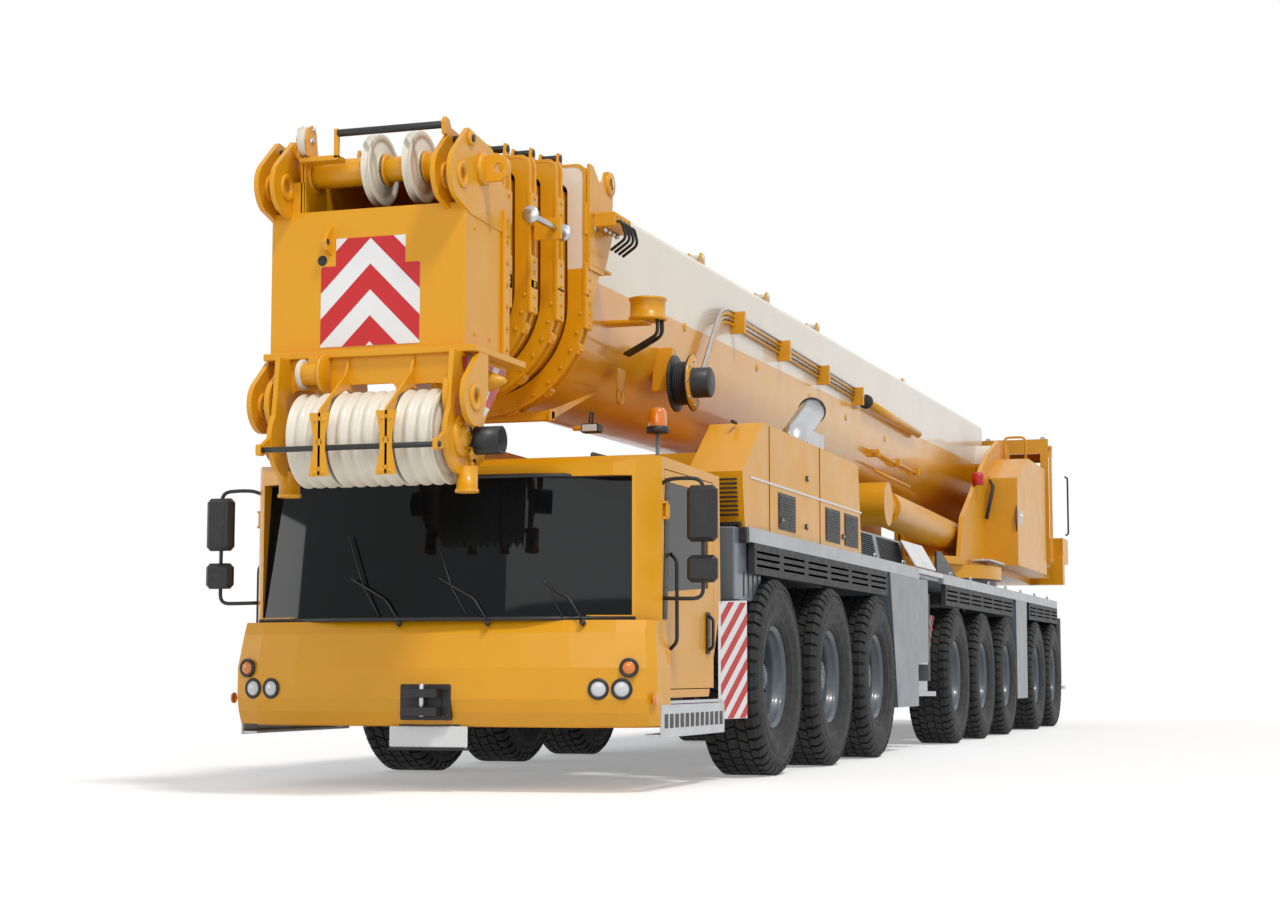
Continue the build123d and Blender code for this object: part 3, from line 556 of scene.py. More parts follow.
def wheel_mesh(name, capped):
    """Tyre, rim, nuts and hub of one wheel about the y axis, outside towards +y."""
    kit = Kit(name, unit=1.0)
    axis = (0, 1, 0)
    outside = [(radius, y) for radius, y in SIDEWALL]
    inside = [(radius, -y) for radius, y in reversed(SIDEWALL)]
    kit.lathe((0, 0, 0), axis, outside, "tyre", 64)
    kit.lathe((0, 0, 0), axis, inside, "tyre", 64)
    kit.lathe((0, 0, 0), axis, [(0.6715, 0.158), (0.670, 0), (0.6715, -0.158)], "tyre", 64)
    add_tread(kit)
    kit.lathe((0, 0, 0), axis, RIM_SECTION, "rim", 56)
    kit.lathe((0, 0, 0), axis, [(0.306, -0.02), (0.309, -0.13), (0.345, -0.15), (0.357, -0.15)], "rim", 48)
    kit.lathe((0, 0, 0), axis, [(0.240, -0.03), (0.240, -0.079), (0.07, -0.079)], "chassis", 40)
    # ten disc holes shown as black recessed cups: the black is painted shade inside the holes
    for index in range(10):
        angle = 2 * math.pi * (index + 0.5) / 10
        place = ring_point(0, 0.272, angle)
        kit.lathe((place[0], -0.0225, place[2]), axis,
            [(0.024, 0), (0.024, 0.0012), (0.019, 0.0014), (0.018, -0.012), (0, -0.012)], "rubber", 16)
    kit.lathe((0, 0, 0), axis, [(0.196, 0.004), (0.196, 0.011), (0.190, 0.014), (0.146, 0.014),
        (0.140, 0.022)], "rim", 40)
    for index in range(10):
        place = ring_point(0, 0.1675, 2 * math.pi * index / 10)
        kit.lathe((place[0], 0.014, place[2]), axis, [(0.023, 0), (0.023, 0.006), (0.017, 0.008)], "black",
            14)
        kit.lathe((place[0], 0.020, place[2]), axis,
            [(0.0165, 0), (0.0165, 0.026), (0.013, 0.030), (0.009, 0.030), (0.009, 0.046), (0, 0.047)],
            "black", 6, False)
    if capped:
        hub = [(0.140, 0.020), (0.137, 0.060), (0.128, 0.068), (0.122, 0.094), (0.112, 0.102),
            (0.070, 0.105), (0.066, 0.101), (0.0, 0.101)]
        kit.lathe((0, 0, 0), axis, hub, "rim", 40)
        kit.bolt_ring((0, 0.1035, 0), axis, 0.092, 8, 0.0075, "rim")
        kit.bolt_ring((0, 0.101, 0), axis, 0.040, 3, 0.006, "steel")
    else:
        hub = [(0.140, 0.020), (0.134, 0.044), (0.110, 0.050), (0.100, 0.052), (0.098, 0.078),
            (0.088, 0.085), (0.052, 0.085), (0.048, 0.100), (0.040, 0.104), (0.0, 0.104)]
        kit.lathe((0, 0, 0), axis, hub, "rim", 40)
        kit.bolt_ring((0, 0.051, 0), axis, 0.118, 12, 0.0085, "rim")
        kit.bolt_ring((0, 0.085, 0), axis, 0.070, 8, 0.006, "steel")
    return kit.to_mesh()


def build_wheels():
    """One dressed wheel for each packed wheel, turned so that its rim looks outwards."""
    open_hub, capped_hub = wheel_mesh("wheel_open", False), wheel_mesh("wheel_capped", True)
    for number in range(1, 9):
        for side, turn in (("left", 0.0), ("right", math.pi)):
            low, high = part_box(f"wheel_{number}_{side}")
            piece = bpy.data.objects.new(f"dressed_wheel_{number}_{side}",
                open_hub if number == 1 else capped_hub)
            bpy.context.scene.collection.objects.link(piece)
            piece.location = (low + high) / 2
            piece.rotation_euler = (0, number % 4 * math.pi / 2, turn)
            bpy.context.view_layer.update()
            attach(piece, f"wheel_{number}_{side}")
            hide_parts(f"wheel_{number}_{side}")


# ---------------------------------------------------------------- boom
PIVOT = (-14200, 3500)
BASE_HALF, BASE_BOTTOM, BASE_TOP, STEP = 600, 2670, 4070, 35
SECTIONS = (              # name, front of the collar, width of the collar, rear end
    ("boom_base", 1950, 95, -14550),
    ("tele_1", 2350, 80, -13690),
    ("tele_2", 2700, 70, -13630),
    ("tele_3", 3000, 55, -13570),
    ("tele_4", 3320, 0, -13510),
)


def tilted(x, y, z):
    """Point of the level boom, in its stowed place."""
    dx, dz = x - PIVOT[0], z - PIVOT[1]
    c, s = math.cos(BOOM_TILT), math.sin(BOOM_TILT)
    return (PIVOT[0] + dx * c + dz * s, y, PIVOT[1] - dx * s + dz * c)


def section_loop(index, wide):
    """Outline of a boom section in y and z, set out by a width."""
    half = BASE_HALF - index * STEP + wide
    bottom, top = BASE_BOTTOM + index * STEP - wide, BASE_TOP - index * STEP + wide
    belly, corner = bottom + half, 60
    loop = [(half * math.cos(t), belly - half * math.sin(t)) for t in (math.pi * i / 32 for i in range(33))]
    for sign in (-1, 1):
        turns = [math.pi / 2 * i / 4 for i in range(5)]
        arc = [(sign * (half - corner + corner * math.cos(t)), top - corner + corner * math.sin(t))
            for t in turns]
        loop += arc if sign < 0 else arc[::-1]
    return loop


def band(kit, index, x, widths, material):
    """Closed band round a boom section between two values of x and two widths."""
    inner, outer = section_loop(index, widths[0]), section_loop(index, widths[1])
    rings = [kit.verts([tilted(along, y, z) for y, z in loop]) for along,
        loop in ((x[0], inner), (x[0], outer), (x[1], outer), (x[1], inner))]
    count = len(inner)
    loops = []
    for low, high in zip(rings, rings[1:] + rings[:1]):
        loops += [[low[i], low[(i + 1) % count], high[(i + 1) % count], high[i]] for i in range(count)]
    made = kit.faces(loops, material)
    bmesh.ops.recalc_face_normals(kit.mesh, faces=made)


def around_section(index, wide, count):
    """Points, each with its outward direction, spread round a section's belly."""
    half = BASE_HALF - index * STEP + wide
    belly = BASE_BOTTOM + index * STEP + BASE_HALF - index * STEP
    for i in range(count):
        angle = math.pi * (i + 0.5) / count
        yield (half * math.cos(angle), belly - half * math.sin(angle)), (math.cos(angle), -math.sin(angle))


def span(side, near, far):
    """Interval between two distances from the middle plane, on one side of it."""
    return sorted((side * near, side * far))


def build_collar(index):
    """Lips, pad housings, bolts, lugs and rope rollers of one collar."""
    name, front, width, _ = SECTIONS[index]
    kit = Kit(f"collar_{name}", name)
    half = BASE_HALF - index * STEP
    top, belly = BASE_TOP - index * STEP, BASE_BOTTOM + BASE_HALF
    for x in ((front - 112, front - 88), (front - 20, front + 3)):
        band(kit, index, x, (width - 2, width + 16), "yellow")
    for (y, z), _ in around_section(index, width - 8, 17):
        kit.bolt(tilted(front + 3, y * 0.985, belly + (z - belly) * 0.985), (1, 0, 0), 9, "yellow")
    for side in SIDES:
        edge = side * (half + width)
        for z in (top - 250, top - 640, belly - 60):
            a = tilted(front - 112, edge - side * 4, z - 105)
            b = tilted(front + 6, edge + side * 26, z + 105)
            kit.block((a[0], b[0]), sorted((a[1], b[1])), (a[2], b[2]), "yellow", 6)
            for k in (-70, 0, 70):
                kit.bolt(tilted(front - 55, edge + side * 26, z + k), (0, side, 0), 11, "yellow")
        for angle in (24, 52, 74):
            t = math.radians(angle)
            ny, nz = side * math.cos(t), -math.sin(t)
            reach = half + width
            centre = Vector(tilted(front - 55, ny * reach, belly + nz * reach))
            across = Vector((0, -nz, ny))
            out = Vector((0, ny, nz))
            corners = [centre + across * s - out * 6 for s in (-48, 48)]
            corners += [centre + across * s + out * 34 for s in (30, -30)]
            kit.prism([c - Vector((38, 0, 0)) for c in corners], (76, 0, 0), "yellow", 5)
            kit.bolt(centre + out * 34, out, 12, "yellow")
        y0 = side * (half - 150)
        foot, tip, axle = top + width - 4, top + width + 105, top + width + 72
        post = [(front - 108, foot), (front - 4, foot), (front - 26, tip), (front - 84, tip)]
        for y in (y0 - 60, y0 + 60):
            kit.prism([tilted(x, y - 9, z) for x, z in post], (0, 18, 0), "yellow", 3)
        kit.rod(tilted(front - 55, y0 - 75, axle), tilted(front - 55, y0 + 75, axle), 24, "black")
    return kit


def build_collars():
    for index in range(4):
        kit = build_collar(index)
        if index == 0:
            add_base_collar(kit)
        if index == 2:
            add_stored_pins(kit)
        kit.finish()


def add_base_collar(kit):
    """Side plates with eyes, shelves, valve block and the lamp support under the first collar."""
    plate = [(1930, 3300), (1930, 3985), (1860, 3985), (1740, 3900), (1640, 3940), (1610, 4000),
        (1560, 4016), (1500, 4010), (1462, 3934), (1490, 3560), (1650, 3300)]
    for side in SIDES:
        y = (side * 712, side * 732)
        kit.holed_y(y, plate, [(1530, 3934, 36), (1800, 3620, 60)], "yellow")
        kit.lathe((1530, y[1], 3934), (0, side, 0), [(80, 0), (80, 12), (40, 12)], "yellow", 28)
        for z in ((3540, 3562), (3330, 3350)):
            kit.block((1500, 1900), span(side, 590, 735), z, "yellow")
        kit.prism([(1700, side * 590, 3300), (1900, side * 590, 3300), (1900, side * 590, 3000),
            (1880, side * 590, 3000)], (0, side * 130, 0), "yellow", 3)
        kit.prism([(940, side * 440, 2640), (1000, side * 440, 2620), (1900, side * 440, 2330),
            (1900, side * 440, 2400)], (0, side * 18, 0), "yellow", 3)
    kit.block((1530, 1860), (735, 880), (3585, 3680), "yellow", 6)
    for x in (1580, 1660, 1740, 1820):
        kit.rod((x, 800, 3585), (x, 800, 3555), 16, "steel", 12)
        kit.pipe([(x, 860, 3620), (x, 915, 3620), (x - 60, 925, 3520), (x - 120, 800, 3460)], 10, "rubber")
        kit.bolt((x, 880, 3655), (0, 1, 0), 11, "yellow")
    kit.block((1820, 1880), (-458, 458), (2335, 2400), "yellow", 5)
    kit.lathe((920, 600, 2600), (0, 1, 0), [(34, -12), (60, -12), (60, 12), (34, 12), (34, -12)], "yellow",
        28)
    kit.prism([(860, 594, 2640), (980, 594, 2640), (980, 594, 2790), (820, 594, 2790)], (0, 12, 0),
        "yellow", 2)
    kit.block((1470, 1560), (540, 665), (2285, 2345), "black", 8)
    kit.block((1558, 1566), (552, 653), (2293, 2337), "lens", 3)
    kit.pipe([(1500, 600, 2345), (1480, 600, 2420), (1530, 600, 2430), (1560, 600, 2350)], 7, "rubber")
    kit.rod((1500, 470, 2320), (1500, 560, 2320), 16, "yellow")


def add_stored_pins(kit):
    for side in SIDES:
        y, z = side * 760, 3420
        kit.prism([(2640, side * 628, z - 70), (2640, side * 805, z - 70), (2640, side * 805, z + 60),
            (2640, side * 628, z + 60)], (24, 0, 0), "yellow", 3)
        kit.rod((2500, y, z), (3070, y, z), 20, "steel")
        for x in (2490, 3055):
            kit.lathe((x, y, z), (1, 0, 0), [(0, 0), (50, 0), (53, 4), (53, 16), (50, 20), (0, 20)],
                "steel", 28)


# ---------------------------------------------------------------- boom head
UPPER_EAR, LOWER_EAR = (3760, 3520), (3785, 2242)
HEAD_FRONT, HEAD_REAR, HEAD_TOP = 3700, 3010, 3380
SHELF = (2506, 2546)
TOP_SHAFT = (3550, 3632)
LOW_SHAFT = (3780, 2030)
ROLLER = (3750, 3820)
BOARD = (((-194, 243), (3050, 3210)), ((-287, 335), (2580, 3050)))   # y and z of its two fields


def rounded(centre, radius, start, end, steps=9):
    """Arc of points in x and z, angles in degrees from +x towards +z."""
    angles = [math.radians(start + (end - start) * i / steps) for i in range(steps + 1)]
    return [(centre[0] + radius * math.cos(a), centre[1] + radius * math.sin(a)) for a in angles]


def ear(kit, hole, outline, y, thick=30):
    """Bossed lug plate for a jib pin."""
    kit.holed_y((y - thick / 2, y + thick / 2), outline, [(hole[0], hole[1], 40)], "yellow")
    for side in SIDES:
        kit.lathe((hole[0], y + side * thick / 2, hole[1]), (0, side, 0),
            [(78, 0), (78, 8), (74, 11), (40, 11), (40, -thick)], "yellow", 32)


def add_head_ears(kit):
    (ux, uz), (lx, lz) = UPPER_EAR, LOWER_EAR
    nose = rounded(UPPER_EAR, 163, -62, 55)
    low_nose = rounded(LOWER_EAR, 160, 42, -130, 14)
    for side in SIDES:
        inner = [(ux - 130, HEAD_TOP - 60)] + nose + [(ux - 85, uz + 290), (ux - 190, uz + 280),
            (ux - 300, uz + 200), (ux - 300, HEAD_TOP - 100)]
        outer = [(ux - 130, HEAD_TOP - 60)] + nose + [(ux - 85, uz + 290), (ux - 170, uz + 280),
            (ux - 450, uz + 246), (3012, uz - 60), (3012, HEAD_TOP - 80)]
        ear(kit, UPPER_EAR, inner, side * 500)
        ear(kit, UPPER_EAR, outer, side * 600)
        kit.rod((ux - 110, side * 490, uz + 232), (ux - 110, side * 640, uz + 232), 22, "black")
        for y in (470, 616):
            kit.lathe((ux - 110, side * y, uz + 232), (0, side, 0), [(0, 16), (40, 16), (44, 12), (44, 0)],
                "yellow", 24)
        lug = [(side * 612, uz + 18), (side * 730, uz + 18), (side * 768, uz + 50), (side * 780, uz + 95),
            (side * 768, uz + 140), (side * 730, uz + 172), (side * 612, uz + 172)]
        kit.holed_x((3448, 3476), lug, [(side * 720, uz + 95, 31)], "yellow")
        kit.lathe((3462, side * 616, uz + 95), (0, side, 0), [(95, 0), (95, 20), (88, 26), (0, 26)],
            "yellow", 32)
        low = [(lx - 185, SHELF[0]), (lx - 60, SHELF[0])] + low_nose + [(lx - 185, lz + 60)]
        for y in (596, 700) if side > 0 else (-500, -610):
            ear(kit, LOWER_EAR, low, y)


def add_head_box(kit):
    """Front plate, side plates with bolts and seams, shelf, rear ring and ribs."""
    kit.block((HEAD_FRONT - 20, HEAD_FRONT), (-608, 608), (SHELF[1] - 6, HEAD_TOP), "yellow", 5)
    kit.block((HEAD_REAR, HEAD_FRONT + 80), (-612, 715), SHELF, "yellow", 4)
    for side in SIDES:
        y = span(side, 588, 610)
        plate = [(HEAD_REAR, SHELF[1] - 4), (HEAD_FRONT - 3, SHELF[1] - 4), (HEAD_FRONT - 3, HEAD_TOP - 30),
            (HEAD_FRONT - 60, HEAD_TOP), (HEAD_REAR, HEAD_TOP + 60)]
        kit.plate_y(y, plate, "yellow", 3)
        for z in range(2620, 3420, 130):
            kit.bolt((HEAD_REAR + 45, side * 610, z), (0, side, 0), 13, "yellow")
        for x, z in ((3560, 2640), (3560, 3250), (3330, 2640), (3330, 3290)):
            kit.bolt((x, side * 610, z), (0, side, 0), 9, "yellow")
        kit.block((3120, 3150), span(side, 610, 632), (2560, 3440), "yellow", 4)
    band(kit, 4, (HEAD_REAR - 9, HEAD_REAR + 20), (4, 92), "yellow")
    for (y, z), _ in around_section(4, 62, 22):
        kit.bolt(tilted(HEAD_REAR + 20, y, z), (1, 0, 0), 12, "yellow")
    kit.block((HEAD_REAR + 20, HEAD_FRONT - 30), (-590, -575), (2600, 3340), "yellow")
    kit.block((3040, 3660), (-560, 560), (SHELF[1], SHELF[1] + 40), "yellow")
    kit.plate_y((-248, -222), [(HEAD_FRONT - 4, 3300), (3762, 3228), (3790, 3185), (3770, 3135),
        (HEAD_FRONT - 4, 3112)], "yellow", 4)
    # black discs on both faces of the nose lug: painted shade standing in for its pin hole
    kit.lathe((3752, -248, 3186), (0, -1, 0), [(20, 0), (0, 1)], "rubber", 20)
    kit.lathe((3752, -222, 3186), (0, 1, 0), [(20, 0), (0, 1)], "rubber", 20)
    kit.lathe((HEAD_FRONT, -282, 3088), (1, 0, 0), [(30, 0), (30, 1.5), (0, 1.5)], "rubber", 20)


def add_apron(kit):
    """Arched apron, webs and guard straps round the lower sheaves, cheeks, feet and pipe stubs."""
    x, z = LOW_SHAFT
    drum, stub = (3600, 2020), (3800, 2413)   # x and z of the drum on the cheeks and of the pipe stub
    quarter = (0, 0.4, 0.8, 1.2, 1.57)   # angles of a rounded corner of the arches
    outline = [(-443, SHELF[0]), (-443, 2290)]
    for start, end, crown in ((-443, -279, 2330), (-176, 218, 2350), (240, 520, 2340)):
        outline += [(start + 4, 2290)]
        outline += [(start + 45 - 41 * math.cos(t), crown - 40 + 40 * math.sin(t)) for t in quarter]
        outline += [(end - 45 + 41 * math.sin(t), crown - 40 + 40 * math.cos(t)) for t in quarter]
        outline += [(end - 4, 2290)]
    outline += [(560, 2290), (560, SHELF[0])]
    kit.holed_x((3722, 3746), outline[2:] + outline[:1], [], "yellow")
    web = [(x - 240, SHELF[0]), (x - 30, SHELF[0]), (x + 20, 2400), (x + 130, z + 285), (x + 338, z + 130),
        (x + 338, z - 230), (x + 290, z - 230), (x + 270, z - 140), (x + 288, z), (x + 200, z + 216),
        (x, z + 286), (x - 200, z + 250), (x - 270, z + 300)]
    for y in (-80, 324):
        kit.plate_y((y - 7, y + 7), web, "yellow")
        strap = [(y - 62, z - 235), (y + 62, z - 235), (y + 36, z - 95), (y + 36, z - 10),
            (y + 62, z + 118), (y - 62, z + 118), (y - 36, z - 10), (y - 36, z - 95)]
        kit.holed_x((4108, 4118), strap, [(y, z + 85, 11), (y, z - 45, 19), (y, z - 195, 12)], "yellow")
        for low in (z - 215, z + 75):
            for dy in (24, -24):
                kit.bolt((4118, y + dy, low), (1, 0, 0), 9, "yellow")
    cheek = [(3090, SHELF[0]), (3370, 2220), (3520, 2050)] + rounded(LOW_SHAFT, 215, 200, 400, 16)
    cheek += [(x + 120, SHELF[0])]
    for y0, y1, out in ((-470, -440, -1), (600, 630, 1)):
        kit.plate_y((y0, y1), cheek, "yellow", 3)
        outside = y0 if out < 0 else y1
        kit.lathe((x, outside, z), (0, out, 0), [(120, 0), (120, 14), (112, 20), (62, 20), (60, 34),
            (0, 34)], "yellow", 36)
        kit.bolt_ring((x, outside + out * 18, z), (0, out, 0), 88, 8, 9, "yellow")
        kit.lathe((drum[0], outside, drum[1]), (0, out, 0), [(138, 0), (138, 20), (84, 20)], "yellow", 36)
        kit.lathe((drum[0], outside, drum[1]), (0, out, 0),
            [(80, 18), (80, 172), (70, 172), (68, 40), (0, 40)], "black", 36)
        for angle in (40, 165, 285):
            lug_x = drum[0] + 140 * math.cos(math.radians(angle))
            lug_z = drum[1] + 140 * math.sin(math.radians(angle))
            kit.lathe((lug_x, outside, lug_z), (0, out, 0), [(30, 0), (30, 20), (12, 20), (12, 4), (0, 4)],
                "yellow", 20)
        foot_y = -455 if out < 0 else 645
        kit.lathe((3730, foot_y, 1862), (0, 0, -1),
            [(60, 0), (60, 128), (67, 128), (67, 146), (52, 147), (50, 60), (0, 60)], "yellow", 32)
        kit.block((4070, 4122), (y0, y1), (1922, 1984), "yellow", 5)
        kit.plate_y((y0 + 2, y1 - 2), [(x + 150, z + 40), (4080, 1984), (4080, 1922), (x + 150, z - 60)],
            "yellow")
    kit.rod((4094, -476, 1953), (4100, 640, 1953), 16, "black")
    kit.lathe((3390, 642, 2385), (0, 1, 0), [(58, -10), (58, 4), (20, 90), (14, 96), (0, 96)], "yellow", 28)
    kit.rod((stub[0], -352, stub[1]), (stub[0], -196, stub[1]), 66, "yellow", 28)
    kit.lathe((stub[0], -330, stub[1]), (0, -1, 0),
        [(60, 0), (84, 0), (88, 6), (80, 12), (88, 18), (84, 24), (0, 24)], "nylon", 32)
    kit.lathe((stub[0], -212, stub[1]), (0, 1, 0), [(0, 20), (108, 20), (113, 16), (113, 0), (60, 0)],
        "yellow", 36)
    kit.block((3746, 3830), (-300, -222), (2440, SHELF[0]), "yellow")


def add_top_shaft(kit):
    """Housing of the upper sheaves, posts, guard roller and the small rope sheave."""
    x, z = TOP_SHAFT
    for y0, y1, radius in ((-500, -392, 60), (-405, -44, 84), (50, 218, 74), (306, 490, 80)):
        kit.rod((x, y0, z), (x, y1, z), radius, "yellow", 36)
    for y, radius in ((-402, 114), (-44, 96), (60, 96), (206, 96), (312, 96)):
        kit.lathe((x, y - 8, z), (0, 1, 0), [(radius - 20, 0), (radius, 3), (radius, 15),
            (radius - 20, 18)], "yellow", 36)
    post = [(x - 150, HEAD_TOP - 60), (x + 146, HEAD_TOP - 60), (x + 146, z + 70), (x + 60, z + 128),
        (x - 110, z + 110)]
    for y in (-425, -405):
        kit.plate_y((y - 6, y + 6), post, "yellow", 2)
    kit.block((x + 112, x + 146), (-486, -400), (HEAD_TOP - 60, z - 70), "yellow")
    rx, rz = ROLLER
    kit.rod((rx, -168, rz), (rx, 505, rz), 22, "black", 24)
    kit.block((rx - 14, rx + 14), (-190, -162), (rz - 150, rz + 26), "yellow")
    kit.block((x + 110, rx + 14), (-412, -162), (rz - 158, rz - 128), "yellow")
    kit.plate_y((488, 512), [(rx - 110, rz - 60), (rx + 20, rz - 60), (rx + 34, rz + 10),
        (rx + 10, rz + 44), (rx - 40, rz + 40)], "yellow", 4)
    sx, sy, sz = 3750, -372, 3786
    for y in (sy - 34, sy + 24):
        kit.plate_y((y, y + 12), [(sx - 90, z + 60), (sx + 40, z + 60), (sx + 64, sz), (sx + 40, sz + 70),
            (sx - 10, sz + 96), (sx - 60, sz + 60)], "yellow", 2)
    kit.lathe((sx, sy - 18, sz), (0, 1, 0), [(0, 0), (82, 0), (86, 5), (76, 17), (86, 30), (82, 35),
        (0, 35)], "nylon", 36)
    kit.rod((sx, sy - 44, sz), (sx, sy + 46, sz), 20, "steel")
    kit.rod((sx - 20, sy - 44, sz + 70), (sx - 20, sy + 46, sz + 70), 12, "steel")


def clipped(polygon, field):
    """Part of a convex polygon inside a rectangle given as ((y0, y1), (z0, z1))."""
    for axis in (0, 1):
        for limit, sign in ((field[axis][0], 1), (field[axis][1], -1)):
            kept = []
            for a, b in zip(polygon, polygon[1:] + polygon[:1]):
                da, db = sign * (a[axis] - limit), sign * (b[axis] - limit)
                if da >= 0:
                    kept.append(a)
                if (da >= 0) != (db >= 0):
                    t = da / (da - db)
                    kept.append((a[0] + (b[0] - a[0]) * t, a[1] + (b[1] - a[1]) * t))
            polygon = kept
            if len(polygon) < 3:
                return []
    return polygon


def add_chevrons(kit, x):
    """Board of red and white arrows, points up, on the head's front plate."""
    middle, apex, drop, stripe = 24, 3204, 1.0, 150
    for field in BOARD:
        (y0, y1), (z0, z1) = field
        kit.block((x, x + 3), (y0, y1), (z0, z1), "white", 0)
        for level in range(-1, 5):
            high = apex - stripe * (2 * level + 1) if level >= 0 else apex + stripe
            for side in SIDES:
                reach = 700
                arm = [(middle, high), (middle + side * reach, high - drop * reach),
                    (middle + side * reach, high - stripe - drop * reach), (middle, high - stripe)]
                shape = clipped(arm, field)
                if len(shape) > 2:
                    kit.faces([kit.verts([(x + 3.6, y, z) for y, z in shape])], "red")


def build_head():
    """Inner section with its sheave head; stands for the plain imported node."""
    kit = Kit("inner_section_head", "tele_4")
    front, rear = SECTIONS[4][1], SECTIONS[4][3]
    band(kit, 4, (rear, front), (-12, 0), "yellow")
    band(kit, 4, (rear, rear + 200), (-2, 22), "nylon")
    band(kit, 4, (front - 60, front + 10), (-2, 26), "yellow")
    add_head_box(kit)
    add_head_ears(kit)
    add_apron(kit)
    add_top_shaft(kit)
    add_chevrons(kit, HEAD_FRONT + 1)
    side_board = [(3650, 2480), (3120, 2480), (3370, 2230), (3640, 2060)]
    kit.plate_y((632, 635), side_board, "white")
    for k in range(4):
        a = 3130 + k * 190
        kit.faces([kit.verts([(a, 635.8, 2478), (a + 95, 635.8, 2478),
            (min(a + 330, 3640), 635.8, 2235 - k * 20), (min(a + 245, 3560), 635.8, 2225 - k * 20)])],
            "red")
    kit.finish(replaces=("tele_4",))


def sheave_profile(radius, bore, y0, count, pitch, groove, rim):
    """Rope grooves side by side: (radius, distance along y)."""
    points = [(bore, y0), (radius - 70, y0), (radius - 64, y0 + 6), (radius - 40, y0 + 6),
        (radius - 34, y0)]
    points += [(radius - 4, y0)]
    for i in range(count):
        a = y0 + i * pitch
        points += [(radius, a + rim * 0.3), (radius, a + rim), (radius - groove * 0.8, a + pitch * 0.32),
            (radius - groove, a + pitch * 0.42), (radius - groove, a + pitch * 0.58),
            (radius - groove * 0.8, a + pitch * 0.68), (radius, a + pitch - rim),
            (radius, a + pitch - rim * 0.3)]
        if i < count - 1:
            points += [(radius - 7, a + pitch)]
    end = y0 + count * pitch
    points += [(radius - 4, end), (radius - 34, end), (radius - 40, end - 6), (radius - 64, end - 6),
        (radius - 70, end), (bore, end)]
    return points


def build_sheaves():
    """Cast-nylon rope sheaves, two above and eleven below."""
    kit = Kit("top_rope_sheaves", "sheaves_top")
    for y in (-22, 234):
        kit.lathe((TOP_SHAFT[0], 0, TOP_SHAFT[1]), (0, 1, 0), sheave_profile(211, 52, y, 1, 56, 26, 7),
            "nylon", 72)
        for side, face in ((-1, y - 1), (1, y + 57)):
            kit.lathe((TOP_SHAFT[0], face, TOP_SHAFT[1]), (0, side, 0),
                [(104, -4), (104, 3), (98, 5), (70, 5), (66, -3)], "nylon", 40)
            kit.bolt_ring((TOP_SHAFT[0], face + side * 4, TOP_SHAFT[1]), (0, side, 0), 85, 6, 6, "steel")
    kit.finish(replaces=("sheaves_top",))
    kit = Kit("lower_rope_sheaves", "sheaves_bottom")
    for y, count in ((-322, 3), (-68, 5), (336, 3)):
        kit.lathe((LOW_SHAFT[0], 0, LOW_SHAFT[1]), (0, 1, 0), sheave_profile(270, 62, y, count, 76, 30, 6),
            "nylon", 80)
    kit.finish(replaces=("sheaves_bottom",))


# ---------------------------------------------------------------- cab
CAB_PLAN = ((2380, 1360), (2560, 1250), (2760, 620), (2800, 0))
BUMPER_PLAN = ((2300, 1385), (2560, 1385), (2640, 1345), (2700, 1180), (2745, 900), (2775, 600),
    (2790, 250))


def build_windscreen():
    """Curved, leaning front glass, side panes, corner posts and sealing strips."""
    kit = Kit("windscreen_glass")
    plan = [(x - 8, y) for x, y in CAB_PLAN]
    plan = [(x, y) for x, y in plan] + [(x, -y) for x, y in reversed(plan[:-1])]

    def front(height):
        lean = (height - 1020) * 0.105
        return [(x - lean, y) for x, y in plan[1:-1]]
    edges = [[(x, y, level) for x, y in front(level)] for level in (1050, 1910)]
    kit.surface(lambda i, j: edges[i][j], 2, len(edges[0]), "glass")
    for side in SIDES:
        loop = [(1330, 1120), (2270, 1120), (2240, 1890), (1330, 1890)]
        kit.plate_y((side * 1348, side * 1352), loop, "glass")
        post = [(2290, 1040), (2372, 1040), (2310, 1900), (2230, 1900)]
        kit.plate_y((side * 1352, side * 1366), post, "black", 2)
    for level in (1040, 1905):
        points = [(x + 6, y, level) for x, y in front(level)]
        kit.tube(points, 14, "black", 8)
    kit.finish(replaces=("cab_glass",))


def bumper_point(level, j, side):
    """Point of the bumper skin at a height and a place of its plan."""
    x, y = BUMPER_PLAN[j]
    bulge = {1030: -55, 955: -20, 747: 12, 560: 14, 480: -8, 400: -45}[level]
    return (x + bulge, side * (y + (6 if level < 900 else -18)), level)


LAMPS = ((1255, 746, 44, "amber"), (1210, 620, 50, "lens"), (1073, 620, 50, "lens"))   # y, z, radius, glass


